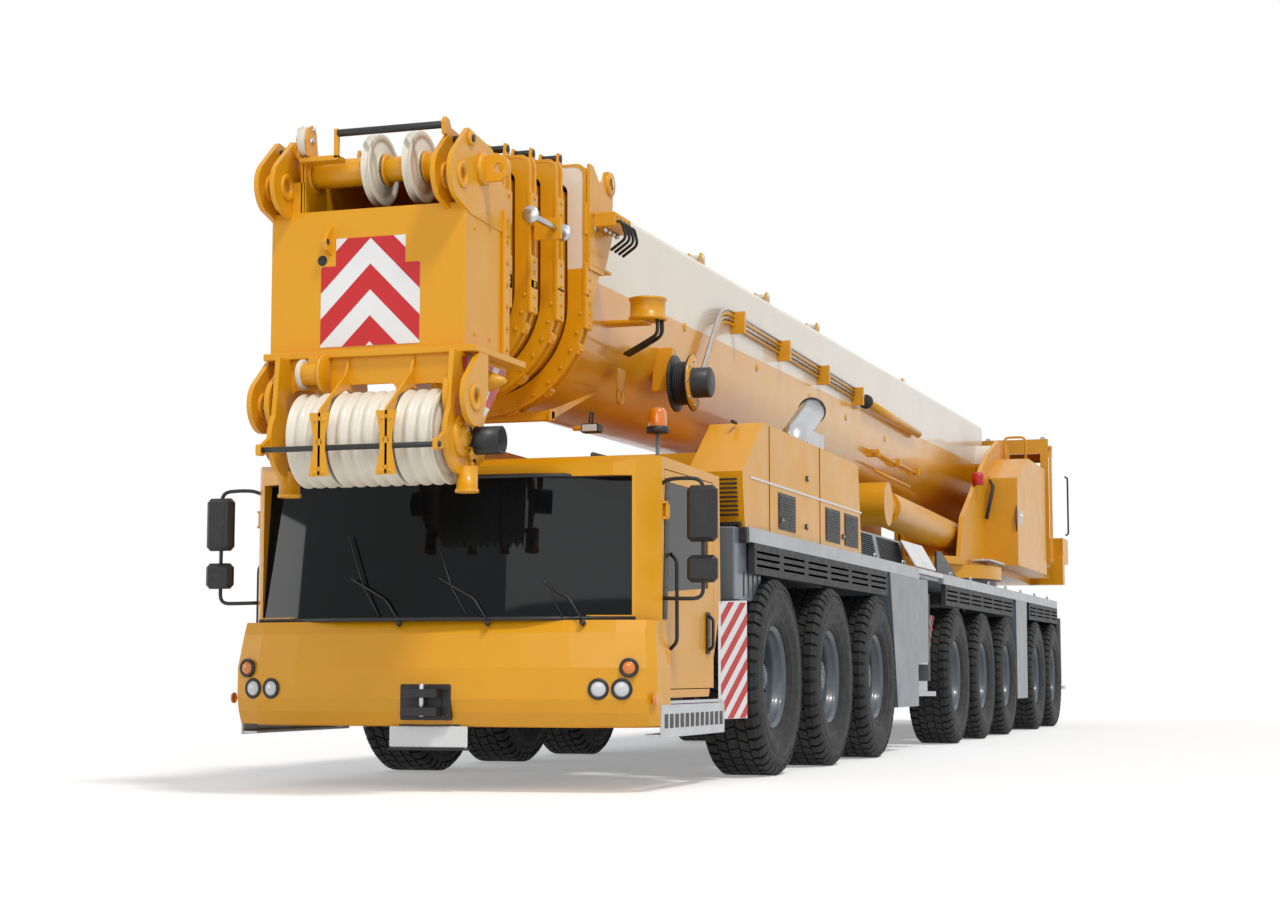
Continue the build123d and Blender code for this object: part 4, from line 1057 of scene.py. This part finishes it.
def build_bumper():
    """Smooth faceted front panel with lamps, coupling, plate and step."""
    kit = Kit("front_bumper")
    levels = (1030, 955, 747, 560, 480, 400)
    for side in SIDES:
        grid = [kit.verts([bumper_point(level, j, side) for j in range(len(BUMPER_PLAN))])
            for level in levels]
        loops = [[grid[i][j], grid[i][j + 1], grid[i + 1][j + 1], grid[i + 1][j]]
            for i in range(len(levels) - 1) for j in range(len(BUMPER_PLAN) - 1)]
        kit.faces(loops, "yellow")
        low = [bumper_point(400, j, side) for j in range(len(BUMPER_PLAN))]
        inner = kit.verts([(2250, y, z + 10) for x, y, z in low])
        kit.faces([[grid[-1][j], grid[-1][j + 1], inner[j + 1], inner[j]] for j in range(len(low) - 1)],
            "yellow")
        for y, z, radius, colour in LAMPS:
            x = 2716 if y > 1100 else 2742
            kit.lathe((x - 20, side * y, z), (1, side * 0.25, 0),
                [(radius + 14, 0), (radius + 14, 16), (radius, 22), (radius - 5, 14)], "black", 32)
            kit.lathe((x - 20, side * y, z), (1, side * 0.25, 0),
                [(radius - 5, 15), (radius * 0.7, 22), (0, 26)], colour, 32)
        kit.lathe((2620, side * 1388, 560), (0, side, 0), [(34, 0), (34, 10), (22, 16), (0, 18)], "amber",
            24)
        kit.block((2660, 2700), span(side, 300, 420), (500, 540), "black")
    rows = []
    for level in levels:
        a, b = bumper_point(level, 6, 1), bumper_point(level, 6, -1)
        rows.append(kit.verts([a, (a[0] + 3, 0, level), b]))
    kit.faces([[rows[i][j], rows[i][j + 1], rows[i + 1][j + 1], rows[i + 1][j]]
        for i in range(len(rows) - 1) for j in range(2)], "yellow")
    kit.block((2770, 2816), (-165, 165), (432, 648), "black", 8)
    for y in (-140, 140):
        for z in (458, 622):
            kit.bolt((2816, y, z), (1, 0, 0), 10, "black")
    kit.rod((2865, 0, 455), (2865, 0, 650), 15, "steel", 14)
    kit.block((2752, 2768), (-255, 255), (268, 396), "bright", 6)
    kit.block((2745, 2772), (-262, 262), (252, 266), "black", 3)
    kit.block((2700, 2750), (-200, 200), (396, 410), "chassis")
    for y in (-190, 390, 970):
        kit.rod((2700 if y > 900 else 2775, y, 1008), (2735 if y > 900 else 2800, y, 1022), 17, "black", 16)
        x = 2788 if abs(y) < 500 else 2712
        kit.pipe([(x, y, 1028), (x - 6, y - 90, 1160), (x - 22, y - 330, 1290)], 7, "black", 6)
        kit.pipe([(x - 10, y - 130, 1050), (x - 16, y - 240, 1230), (x - 60, y - 370, 1560)], 5, "black", 6)
    for side in SIDES:
        kit.block((1160, 2500), span(side, 1290, 1392), (335, 352), "silver", 3)
        kit.block((1150, 2510), span(side, 1386, 1400), (330, 525), "silver", 5)
        for k in range(12):
            kit.block((1200 + k * 108, 1270 + k * 108), span(side, 1398, 1401.5), (385, 470), "black", 1)
        kit.block((1150, 2330), span(side, 1374, 1386), (528, 548), "silver", 2)
        kit.pipe([(1420, side * 1372, 860), (1424, side * 1402, 880), (1424, side * 1404, 1060),
            (1420, side * 1372, 1082)], 11, "black")
        kit.block((1385, 1455), span(side, 1366, 1376), (835, 1105), "black", 8)
        kit.pipe([(2250, side * 1372, 860), (2270, side * 1420, 900), (2270, side * 1420, 1400),
            (2250, side * 1372, 1440)], 12, "black")
    kit.finish()


def build_mirrors():
    """Mirror heads on curved arms, roof beacon on its post and roof rail."""
    kit = Kit("mirror_heads")
    beacon = (1333, 1000)
    for side in SIDES:
        for z0, z1 in ((1500, 1840), (1255, 1420)):
            y = span(side, 1530, 1719)
            kit.block((2372, 2448), y, (z0, z1), "black", 26)
            kit.block((2366, 2373), span(side, 1552, 1697), (z0 + 22, z1 - 22), "chrome", 2)
            kit.block((2446, 2449), span(side, 1580, 1670), (z0 + 50, z1 - 50), "trim", 1)
        kit.pipe([(2352, side * 1330, 1850), (2380, side * 1400, 1885), (2400, side * 1500, 1888),
            (2400, side * 1625, 1880), (2400, side * 1625, 1160), (2400, side * 1500, 1160),
            (2352, side * 1340, 1165)], 12, "black", 12, 60)
    kit.rod((*beacon, 2020), (*beacon, 2290), 14, "panel")
    kit.lathe((*beacon, 2290), (0, 0, 1), [(0, 0), (72, 0), (76, 8), (76, 38), (62, 44)], "black", 36)
    kit.lathe((*beacon, 2330), (0, 0, 1), [(60, 0), (62, 20), (58, 100), (44, 124), (0, 132)], "amber", 36)
    kit.pipe([(2350, 900, 2030), (2350, 900, 2060), (1300, 900, 2070), (1300, 900, 2030)], 11, "black")
    kit.finish(replaces=("mirrors_and_lamps",))


def build_seats():
    """Crowned seat cushions and backs of the driver's cab."""
    for name, y in (("driver", 700), ("mate", -700)):
        for part, x, z in (("cushion", (1560, 2030), (1010, 1120)), ("back", (1440, 1560), (1110, 1640))):
            kit = Kit(f"{name}_seat_{part}")
            flat = part == "cushion"
            span = 8

            def place(i, j, top):
                u, v = i / span * 2 - 1, j / span * 2 - 1
                full = (1 - u ** 4) * (1 - v ** 4)
                pull = 1 - 0.05 * (1 - abs(v)) * abs(u)
                half = 1 if top else -1
                along = u * pull if flat else half * (0.35 + 0.65 * full)
                upward = half * (0.3 + 0.7 * full) if flat else u * pull
                px = (x[0] + x[1]) / 2 + (x[1] - x[0]) / 2 * along
                pz = (z[0] + z[1]) / 2 + (z[1] - z[0]) / 2 * upward
                return (px, y + 235 * v, pz)
            for top in (True, False):
                kit.surface(lambda i, j: place(i, j, top), span + 1, span + 1, "trim")
            bmesh.ops.remove_doubles(kit.mesh, verts=kit.mesh.verts, dist=0.5)
            bmesh.ops.recalc_face_normals(kit.mesh, faces=kit.mesh.faces)
            kit.finish()


# ---------------------------------------------------------------- carrier
ARCHES = ((600, -3870), (-6750, -11300), (-12680, -15440))
EDGE = 1459   # outermost y of the deck edge and the covers
MARKERS = (-1400, -3500, -7600, -10200, -13300, -15300)


def build_mudguards():
    """Chevron plates before axle 1, and the dark columns behind the cab."""
    kit = Kit("front_mudguards")
    for side in SIDES:
        front, back = (1130, 1370), (800, 1458)

        def point(t, z, out=0.0):
            return (front[0] + (back[0] - front[0]) * t, side * (front[1] + (back[1] - front[1]) * t + out),
                z)
        kit.prism([point(0, 415), point(1, 415), point(1, 1200), point(0, 1185)], (14, side * -14, 0),
            "white")
        for k in range(-3, 8):
            stripe = [(0, 415 + k * 150), (0, 490 + k * 150), (1, 490 + k * 150 + 330),
                (1, 415 + k * 150 + 330)]
            shape = clipped(stripe, ((0.0, 1.0), (418, 1184)))
            if len(shape) > 2:
                kit.faces([kit.verts([point(t, z, 1.5) for t, z in shape])], "red")
        kit.block((205, 900), span(side, 1200, 1400), (1200, 1695), "panel", 10)
        kit.block((690, 790), span(side, 1280, 1458), (1592, 1698), "black", 10)
        kit.block((470, 520), span(side, 1398, 1412), (1425, 1485), "amber", 8)
        for x in (300, 420, 540, 660):
            kit.block((x, x + 14), span(side, 1396, 1406), (1230, 1400), "chassis", 2)
    kit.finish()


def build_flaps():
    """Rounded, ribbed covers above the wheels, with their fixings."""
    kit = Kit("ribbed_wing_covers")
    section = [(1440, 1600), (1452, 1590), (EDGE, 1560), (EDGE, 1430), (1452, 1402), (1440, 1392)]
    for end, start in ARCHES:
        count = round((end - start) / 735)
        width = (end - start) / count
        for index in range(count):
            x0 = start + index * width
            for side in SIDES:
                rows = []
                for dx in (8, 26, width - 26, width - 8):
                    inset = 8 if dx in (8, width - 8) else 0
                    rows.append(kit.verts([(x0 + dx, side * (y - inset), z + (1500 - z) * inset / 400)
                        for y, z in section]))
                kit.faces([[a[i], a[i + 1], b[i + 1], b[i]] for a, b in zip(rows, rows[1:])
                    for i in range(len(section) - 1)], "panel", False)
                for low in (1438, 1484, 1530):
                    kit.prism([(x0 + 60, side * (EDGE - 2), low), (x0 + width - 60, side * (EDGE - 2), low),
                        (x0 + width - 60, side * (EDGE - 2), low + 20),
                        (x0 + 60, side * (EDGE - 2), low + 20)], (0, side * 3.0, 0), "rubber", 2)
                for dx in (34, width - 34):
                    kit.bolt((x0 + dx, side * (EDGE - 1), 1574), (0, side, 0), 6.0, "black", 1.5)
    kit.finish()


def build_deck_trim():
    """Edge rails, lashing eyes and markers along the deck."""
    kit = Kit("deck_edge_fittings")
    deck = (-15430, 640)
    for side in SIDES:
        kit.block(deck, span(side, EDGE - 41, EDGE), (1652, 1700), "silver", 6)
        kit.block(deck, span(side, 1400, 1430), (1612, 1652), "panel", 4)
        for x in range(-15000, 500, 1250):
            kit.lathe((x, side * (EDGE - 4), 1676), (0, side, 0), [(16, 0), (16, 3), (9, 4), (0, 3)],
                "black", 16)
            kit.pipe([(x - 60, side * 1380, 1702), (x - 60, side * 1380, 1750), (x + 60, side * 1380, 1750),
                (x + 60, side * 1380, 1702)], 8, "steel", 8, 30)
        for x in MARKERS:
            kit.block((x - 28, x + 28), span(side, EDGE - 13, EDGE), (1606, 1640), "amber", 6)
    kit.finish()


def build_air_box():
    """Dark louvred box with two pale sloped lids beside the boom."""
    kit = Kit("louvred_air_box")
    for side in SIDES:
        section = [(side * 760, 1702), (side * 1290, 1702), (side * 1236, 1968), (side * 760, 1968)]
        kit.plate_x((-5580, -3120), section, "panel", 8)
        for k in range(11):
            z = 1740 + k * 19
            y = side * (1290 - (z - 1702) * 0.204 + 2)
            for x0, x1 in ((-4240, -3200), (-5460, -4420)):
                kit.prism([(x0, y, z), (x1, y, z), (x1, y + side * 9, z + 8), (x0, y + side * 9, z + 8)],
                    (0, 0, 6), "black")
        for x0, x1 in ((-5300, -5810), (-5840, -6350)):
            kit.prism([(x0, side * 1430, 1712), (x1, side * 1430, 1712), (x1, side * 1288, 1960),
                (x0, side * 1288, 1960)], (0, side * 14, 8), "bright", 5)
            for z, y in ((1760, 1418), (1920, 1316)):
                for x in (x0 - 50, x1 + 50):
                    kit.bolt((x, side * y, z), (0, side, 0.55), 8, "steel")
        kit.prism([(-7030, side * 1300, 1702), (-7030, side * 1300, 1950), (-7300, side * 1300, 1960),
            (-8220, side * 1300, 1740), (-8220, side * 1300, 1702)], (0, side * 24, 0), "black", 4)
    kit.finish()


def build_side_lockers():
    """Seams, handles, step and striped plate of the side panels, guard tube and rear flaps."""
    kit = Kit("side_locker_fittings")
    for side in SIDES:
        y = side * 1448
        for x in (-4500, -4840, -5180):
            kit.block((x - 5, x + 5), sorted((y - side * 2, y + side * 8)), (430, 1500), "black", 1)
        for x in (-4650, -5010):
            kit.block((x - 60, x + 60), sorted((y, y + side * 11)), (1330, 1378), "black", 6)
            kit.lathe((x, y, 900), (0, side, 0), [(26, 0), (26, 7), (18, 9), (0, 9)], "steel", 20)
        kit.block((-5760, -5290), span(side, 1300, 1456), (796, 816), "silver", 3)
        for x in range(-5720, -5300, 60):
            kit.rod((x, side * 1378, 812), (x, side * 1378, 822), 16, "silver", 10)
        x0, x1 = -6970, -6660
        kit.block((x0, x1), span(side, 1296, 1302), (900, 1290), "white", 1)
        for k in range(-4, 9):
            low = 900 + k * 120
            stripe = [(x0, low), (x0, low + 60), (x1, low + 370), (x1, low + 310)]
            shape = clipped(stripe, ((x0, x1), (902, 1288)))
            if len(shape) > 2:
                kit.faces([kit.verts([(a, side * 1304, b) for a, b in shape])], "red")
        kit.rod((-6380, side * 1300, 640), (-6380, side * 1300, 1580), 26, "black", 16)
        kit.block((-15436, -15424), span(side, 1010, 1450), (300, 1640), "rubber", 4)
    kit.finish()


def build_hood_fittings():
    """Painted highlight strip along the hood crease, latches, grilles and hinges of the engine hoods, and
    the exhaust.
    """
    kit = Kit("hood_fittings")
    for side in SIDES:
        y = side * 1420
        # painted highlight: a pale strip along the hood's crease stands in for the light the edge catches
        kit.block((-2990, 560), sorted((y, y + side * 6)), (2046, 2062), "bright", 2)
        for x, z in ((-1080, 2180), (-1050, 1813), (-2300, 1813), (-300, 1813)):
            kit.block((x - 34, x + 34), sorted((y, y + side * 12)), (z - 22, z + 22), "black", 8)
            kit.bolt((x, y + side * 12, z), (0, side, 0), 9, "steel")
        for x0 in (-2850, -2180, -700):
            for k in range(11):
                z = 1770 + k * 22
                kit.prism([(x0, y, z), (x0 + 480, y, z), (x0 + 480, y + side * 10, z - 8),
                    (x0, y + side * 10, z - 8)], (0, 0, 7), "black")
            kit.block((x0 - 16, x0 + 496), sorted((y, y + side * 3)), (1744, 2012), "black", 2)
        for x in (-1500, 40):
            kit.block((x - 4, x + 4), sorted((y, y + side * 4)), (1702, 2460), "black", 1)
        for x in (-2700, -1200, 300):
            kit.rod((x - 50, side * 1236, 2468), (x + 50, side * 1236, 2468), 13, "black", 12)
        kit.block((706, 762), span(side, 1060, 1400), (1708, 1735), "black", 3)
        for k in range(9):
            z = 1780 + k * 30
            kit.block((712 + k * 5, 724 + k * 5), span(side, 1090, 1380), (z, z + 12), "black", 1)
    elbow = (-1640, 1180, 2440)   # foot of the exhaust on the hood
    mouth = [elbow, (-1640, 1180, 2560), (-2050, 1150, 2700), (-2560, 1110, 2880)]
    kit.pipe(mouth, 108, "steel", 28, 150)
    kit.lathe((-2540, 1111, 2873), (-0.94, -0.07, 0.33),
        [(108, 0), (116, 0), (116, 34), (98, 36), (96, -120), (0, -120)], "black", 32)
    kit.lathe(elbow, (0, 0, 1), [(160, 0), (160, 14), (112, 18)], "black", 32)
    kit.block((-2300, -1750), (1262, 1272), (2490, 2640), "silver", 4)
    kit.finish()


# ---------------------------------------------------------------- boom side and superstructure
def build_boom_side():
    """Hose reel, pipes, rails, rope guides and the straight rope above the first section."""
    kit = Kit("boom_side_fittings", "boom_base")
    reel, across = (0, 705, 2800), (0, 1, 0)
    slope = 0.0122   # fall of the boom towards its head
    kit.lathe(reel, across, [(200, 0), (206, 4), (206, 18), (200, 22), (120, 24), (120, 128), (200, 130),
        (206, 134), (200, 142), (110, 146), (110, 270), (96, 280), (0, 280)], "black", 48)
    kit.lathe(reel, across, [(120, 131), (200, 142.5), (204, 146), (112, 147)], "yellow", 48)
    for k in range(6):
        kit.lathe((0, 733 + k * 17, reel[2]), across, [(150, 0), (158, 5), (158, 11), (150, 16)], "rubber",
            40)
    kit.bolt_ring((0, 852, reel[2]), across, 160, 8, 10, "steel")
    kit.prism([(-90, 560, 2740), (90, 560, 2740), (50, 560, 3060), (-50, 560, 3060)], (0, 145, 0), "yellow",
        5)
    kit.lathe((1233, 900, 3060), (0, 0, 1), [(0, 0), (120, 0), (130, 6), (130, 20), (118, 26), (118, 130),
        (128, 136), (128, 150), (60, 156), (0, 156)], "yellow", 36)
    kit.block((1150, 1320), (560, 900), (3040, 3062), "yellow")
    for x, y in ((1190, 980), (1235, 1000), (1280, 980)):
        kit.pipe([(x, y, 3070), (x, y + 6, 2960), (x - 90, y - 160, 2900), (x - 400, 620, 2900)], 12,
            "rubber")
    for k in range(4):
        z, y = 2754 + k * 34, 660 + k * 4
        kit.pipe([(-160, 700, z - 10), (-670, y, z), (-1330, y, z + 700), (-1700, y - 40, z + 770),
            (-6600, y - 40, z + 712)], 13, "steel" if k % 2 else "yellow", 10, 160)
    for x in (-1900, -3400, -4900, -6400):
        z = 3475 + (x + 1650) * slope
        kit.block((x - 22, x + 22), (590, 720), (z - 20, z + 160), "yellow", 3)
        kit.bolt((x, 720, z + 70), (0, 1, 0), 9, "steel")
    for x, z in ((-1320, 3812), (-3340, 3836), (-5230, 3858), (-9420, 3868)):
        for y in (520, 420):
            kit.prism([(x - 90, y, z + 30), (x + 90, y, z + 30), (x + 46, y, z + 200),
                (x - 46, y, z + 200)], (0, 12, 0), "yellow", 2)
        kit.rod((x, 405, z + 165), (x, 545, z + 165), 26, "nylon", 18)
    kit.pipe([(1900, 100, 4035), (-5200, 80, 4048), (-12800, 60, 4062)], 11, "steel", 8)
    kit.pipe([(-6800, 660, 3480), (-9600, 660, 3440)], 44, "yellow", 16)
    kit.lathe((-6800, 660, 3480), (1, 0, 0), [(70, -6), (74, 0), (74, 22), (66, 28), (0, 28)], "black", 28)
    kit.pipe([(-7200, 640, 3010), (-9600, 640, 2985)], 18, "yellow", 12)
    kit.pipe([(-7400, 610, 2830), (-9300, 610, 2810)], 18, "yellow", 12)
    for x in (-7300, -8400, -9500):
        kit.block((x - 16, x + 16), (560, 690), (2960, 3040), "yellow", 3)
    for x in (-600, -2700, -4600, -6100, -8000):
        kit.lathe((x, 592, 3320 + x * slope), (0, 1, 0), [(34, 0), (34, 14), (20, 16), (0, 10)], "yellow",
            20)
    kit.finish()


def build_turntable_fittings():
    """Valve bank, hoses, fillers, handrail, steps and slots of the superstructure."""
    kit = Kit("superstructure_fittings", "turntable")
    plate = 1352   # outer face of the left side plate
    kit.lathe((-12700, plate, 2650), (0, 1, 0), [(290, -4), (300, 0), (300, 8), (270, 12), (262, 2),
        (0, 2)], "black", 40)
    for k in range(5):
        x = -12560 - k * 62
        kit.block((x - 24, x + 24), (plate, 1376), (2590, 2760), "steel", 4)
        kit.rod((x, 1370, 2700), (x, 1384, 2700), 14, "chrome", 14)
    kit.rod((-12550, 1100, 2910), (-12550, 1100, 3150), 66, "black", 24, 8)
    kit.lathe((-11700, 1000, 3020), (0, 0, 1), [(0, 0), (70, 0), (74, 8), (74, 120), (54, 150), (0, 160)],
        "red", 28)
    for x in (-12260, -12340):
        kit.pipe([(x, 1000, 2640), (x, 1060, 2900), (x - 80, 1080, 3060), (x - 260, 1000, 3180)], 17,
            "rubber")
    for k in range(12):
        kit.block((-14560 + k * 4, -14200 - k * 4), (plate, 1358), (2960 + k * 38, 2972 + k * 38), "black",
            1)
    kit.pipe([(-13900, 1280, 3300), (-13900, 1280, 3830), (-13900, 1000, 3830), (-13900, 1000, 3300)], 16,
        "yellow", 12, 70)
    kit.block((-12000, -10900), (1030, 1270), (2040, 2062), "silver", 4)
    for k in range(9):
        kit.rod((-11940 + k * 120, 1150, 2060), (-11940 + k * 120, 1150, 2070), 30, "silver", 14)
    for x in (-11980, -10920):
        kit.block((x - 12, x + 12), (1020, 1044), (1800, 2050), "yellow", 3)
    for x, z in ((-12900, 2300), (-13500, 2300), (-14100, 2300), (-14700, 2500)):
        kit.lathe((x, plate, z), (0, 1, 0), [(24, 0), (24, 7), (14, 9), (0, 5)], "black", 18)
    kit.bolt_ring((-11400, 0, 1990), (0, 0, 1), 1060, 40, 17, "steel")
    kit.finish()


def build_rear_fittings():
    """Lamp bar with its lamps and blank plate at the tail."""
    kit = Kit("tail_fittings")
    kit.block((-16660, -16590), (-1250, 1250), (1180, 1300), "chassis", 8)
    for side in SIDES:
        kit.block((-16684, -16656), span(side, 790, 1230), (1184, 1296), "black", 8)
        for k, colour in enumerate(("red", "amber", "red", "lens")):
            y = side * (845 + k * 108)
            kit.lathe((-16682, y, 1240), (-1, 0, 0), [(46, -6), (46, 4), (30, 9), (0, 10)], colour, 28)
    kit.block((-16672, -16658), (-260, 260), (1184, 1294), "bright", 5)
    kit.finish()


def build_crane_cab_fittings():
    """Lamps, wiper and grab rail of the crane operator's cab."""
    kit = Kit("crane_cab_fittings", "turntable")
    low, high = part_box("crane_cab")
    front, top = (high.x - AXLE_X) * 1000, high.z * 1000
    side = 1 if (low.y + high.y) > 0 else -1
    y0, y1 = low.y * 1000, high.y * 1000
    for y in (y0 + 120, y1 - 120):
        kit.rod((front - 60, y, top - 2), (front - 8, y, top - 2), 34, "black", 20)
        kit.lathe((front - 10, y, top - 2), (1, 0, 0), [(30, 0), (20, 6), (0, 8)], "lens", 24)
    kit.pipe([(front - 30, (y0 + y1) / 2, top - 1600), (front - 24, (y0 + y1) / 2 - 60, top - 1100),
        (front - 40, (y0 + y1) / 2 + 20, top - 600)], 8, "black", 6)
    outer = y1 if side > 0 else y0
    kit.pipe([(front - 1500, outer - side * 10, top - 1250), (front - 1500, outer + side * 30, top - 1230),
        (front - 1500, outer + side * 30, top - 420), (front - 1500, outer - side * 10, top - 400)], 13,
        "black", 10, 60)
    kit.finish()


# ---------------------------------------------------------------- stage
def build_stage():
    bpy.ops.mesh.primitive_plane_add(size=400, location=(0, 0, -0.0005))
    floor = bpy.context.object
    floor.name = "floor"
    material, tree, shader = new_material("pale_floor")
    vector = coords(tree)
    colour = ramp(tree, noise(tree, vector, 0.6), [(0.3, (0.80, 0.80, 0.80)), (0.7, (0.83, 0.83, 0.83))])
    tree.links.new(colour, shader.inputs["Base Color"])
    shader.inputs["Roughness"].default_value = 0.9
    shader.inputs["Specular IOR Level"].default_value = 0.1
    path = node(tree, "ShaderNodeLightPath")
    seen = math_node(tree, "MAXIMUM", path.outputs["Is Camera Ray"], path.outputs["Is Glossy Ray"])
    seen = math_node(tree, "MAXIMUM", seen, path.outputs["Is Transmission Ray"])
    glow = math_node(tree, "MULTIPLY", seen, FLOOR_GLOW)
    shader.inputs["Emission Color"].default_value = (1, 1, 1, 1)
    tree.links.new(glow, shader.inputs["Emission Strength"])
    floor.data.materials.append(material)


FLOOR_GLOW = 0.30
WORLD_LIGHT = 0.42


def build_world():
    world = bpy.data.worlds.new("studio")
    bpy.context.scene.world = world
    world.use_nodes = True
    tree = world.node_tree
    tree.nodes.clear()
    out = tree.nodes.new("ShaderNodeOutputWorld")
    light = tree.nodes.new("ShaderNodeBackground")
    light.inputs["Color"].default_value = (0.93, 0.96, 1.0, 1)
    light.inputs["Strength"].default_value = WORLD_LIGHT
    seen = tree.nodes.new("ShaderNodeBackground")
    seen.inputs["Color"].default_value = (1, 1, 1, 1)
    seen.inputs["Strength"].default_value = 1.0
    path = tree.nodes.new("ShaderNodeLightPath")
    either = math_node(tree, "MAXIMUM", path.outputs["Is Camera Ray"], path.outputs["Is Transmission Ray"])
    either = math_node(tree, "MAXIMUM", either, path.outputs["Is Glossy Ray"])
    blend = tree.nodes.new("ShaderNodeMixShader")
    tree.links.new(either, blend.inputs[0])
    tree.links.new(light.outputs[0], blend.inputs[1])
    tree.links.new(seen.outputs[0], blend.inputs[2])
    tree.links.new(blend.outputs[0], out.inputs["Surface"])


def area_light(name, place, target, size, power, colour=(1, 1, 1)):
    data = bpy.data.lights.new(name, "AREA")
    data.shape = "RECTANGLE"
    data.size, data.size_y = size
    data.energy = power
    data.color = colour
    lamp = bpy.data.objects.new(name, data)
    bpy.context.scene.collection.objects.link(lamp)
    lamp.location = place
    lamp.rotation_euler = (Vector(target) - Vector(place)).to_track_quat("-Z", "Y").to_euler()


def sun_light(name, direction, strength, angle, colour=(1, 1, 1)):
    data = bpy.data.lights.new(name, "SUN")
    data.energy = strength
    data.angle = math.radians(angle)
    data.color = colour
    lamp = bpy.data.objects.new(name, data)
    bpy.context.scene.collection.objects.link(lamp)
    lamp.rotation_euler = Vector(direction).to_track_quat("-Z", "Y").to_euler()


CAMERA = dict(place=(14.913, 5.311, 0.714), yaw=18.08, pitch=5.63, lens=61.1)


def build_camera():
    yaw, pitch = math.radians(CAMERA["yaw"]), math.radians(CAMERA["pitch"])
    look = Vector((-math.cos(yaw) * math.cos(pitch), -math.sin(yaw) * math.cos(pitch), math.sin(pitch)))
    data = bpy.data.cameras.new("camera")
    data.lens = CAMERA["lens"]
    data.sensor_width = 36
    data.clip_end = 500
    camera = bpy.data.objects.new("camera", data)
    bpy.context.scene.collection.objects.link(camera)
    camera.location = at(*CAMERA["place"])
    camera.rotation_euler = look.to_track_quat("-Z", "Y").to_euler()
    bpy.context.scene.camera = camera


SUN_STRENGTH, SUN_ANGLE = 1.7, 9
FILL_POWER, SOFTBOX_POWER = 330, 120


def build_lights():
    """A soft sun from the front left, a fill before the cab, a softbox that the windscreen mirrors."""
    sun_light("sun", (-0.5, -0.62, -1.15), SUN_STRENGTH, SUN_ANGLE, (1.0, 0.98, 0.95))
    area_light("front_fill", at(14, 3, 7), at(0, 0, 2), (8, 6), FILL_POWER)
    area_light("window_softbox", at(7.7, -10.8, 2.8), at(2.6, -1, 1.5), (2.6, 2.6), SOFTBOX_POWER)


build_camera()
build_world()
build_lights()
build_stage()
build_wheels()
build_collars()
build_head()
build_sheaves()
build_windscreen()
build_bumper()
build_mirrors()
build_seats()
build_mudguards()
build_flaps()
build_deck_trim()
build_air_box()
build_side_lockers()
build_hood_fittings()
build_boom_side()
build_turntable_fittings()
build_rear_fittings()
build_crane_cab_fittings()
bpy.context.scene.view_settings.view_transform = "Standard"
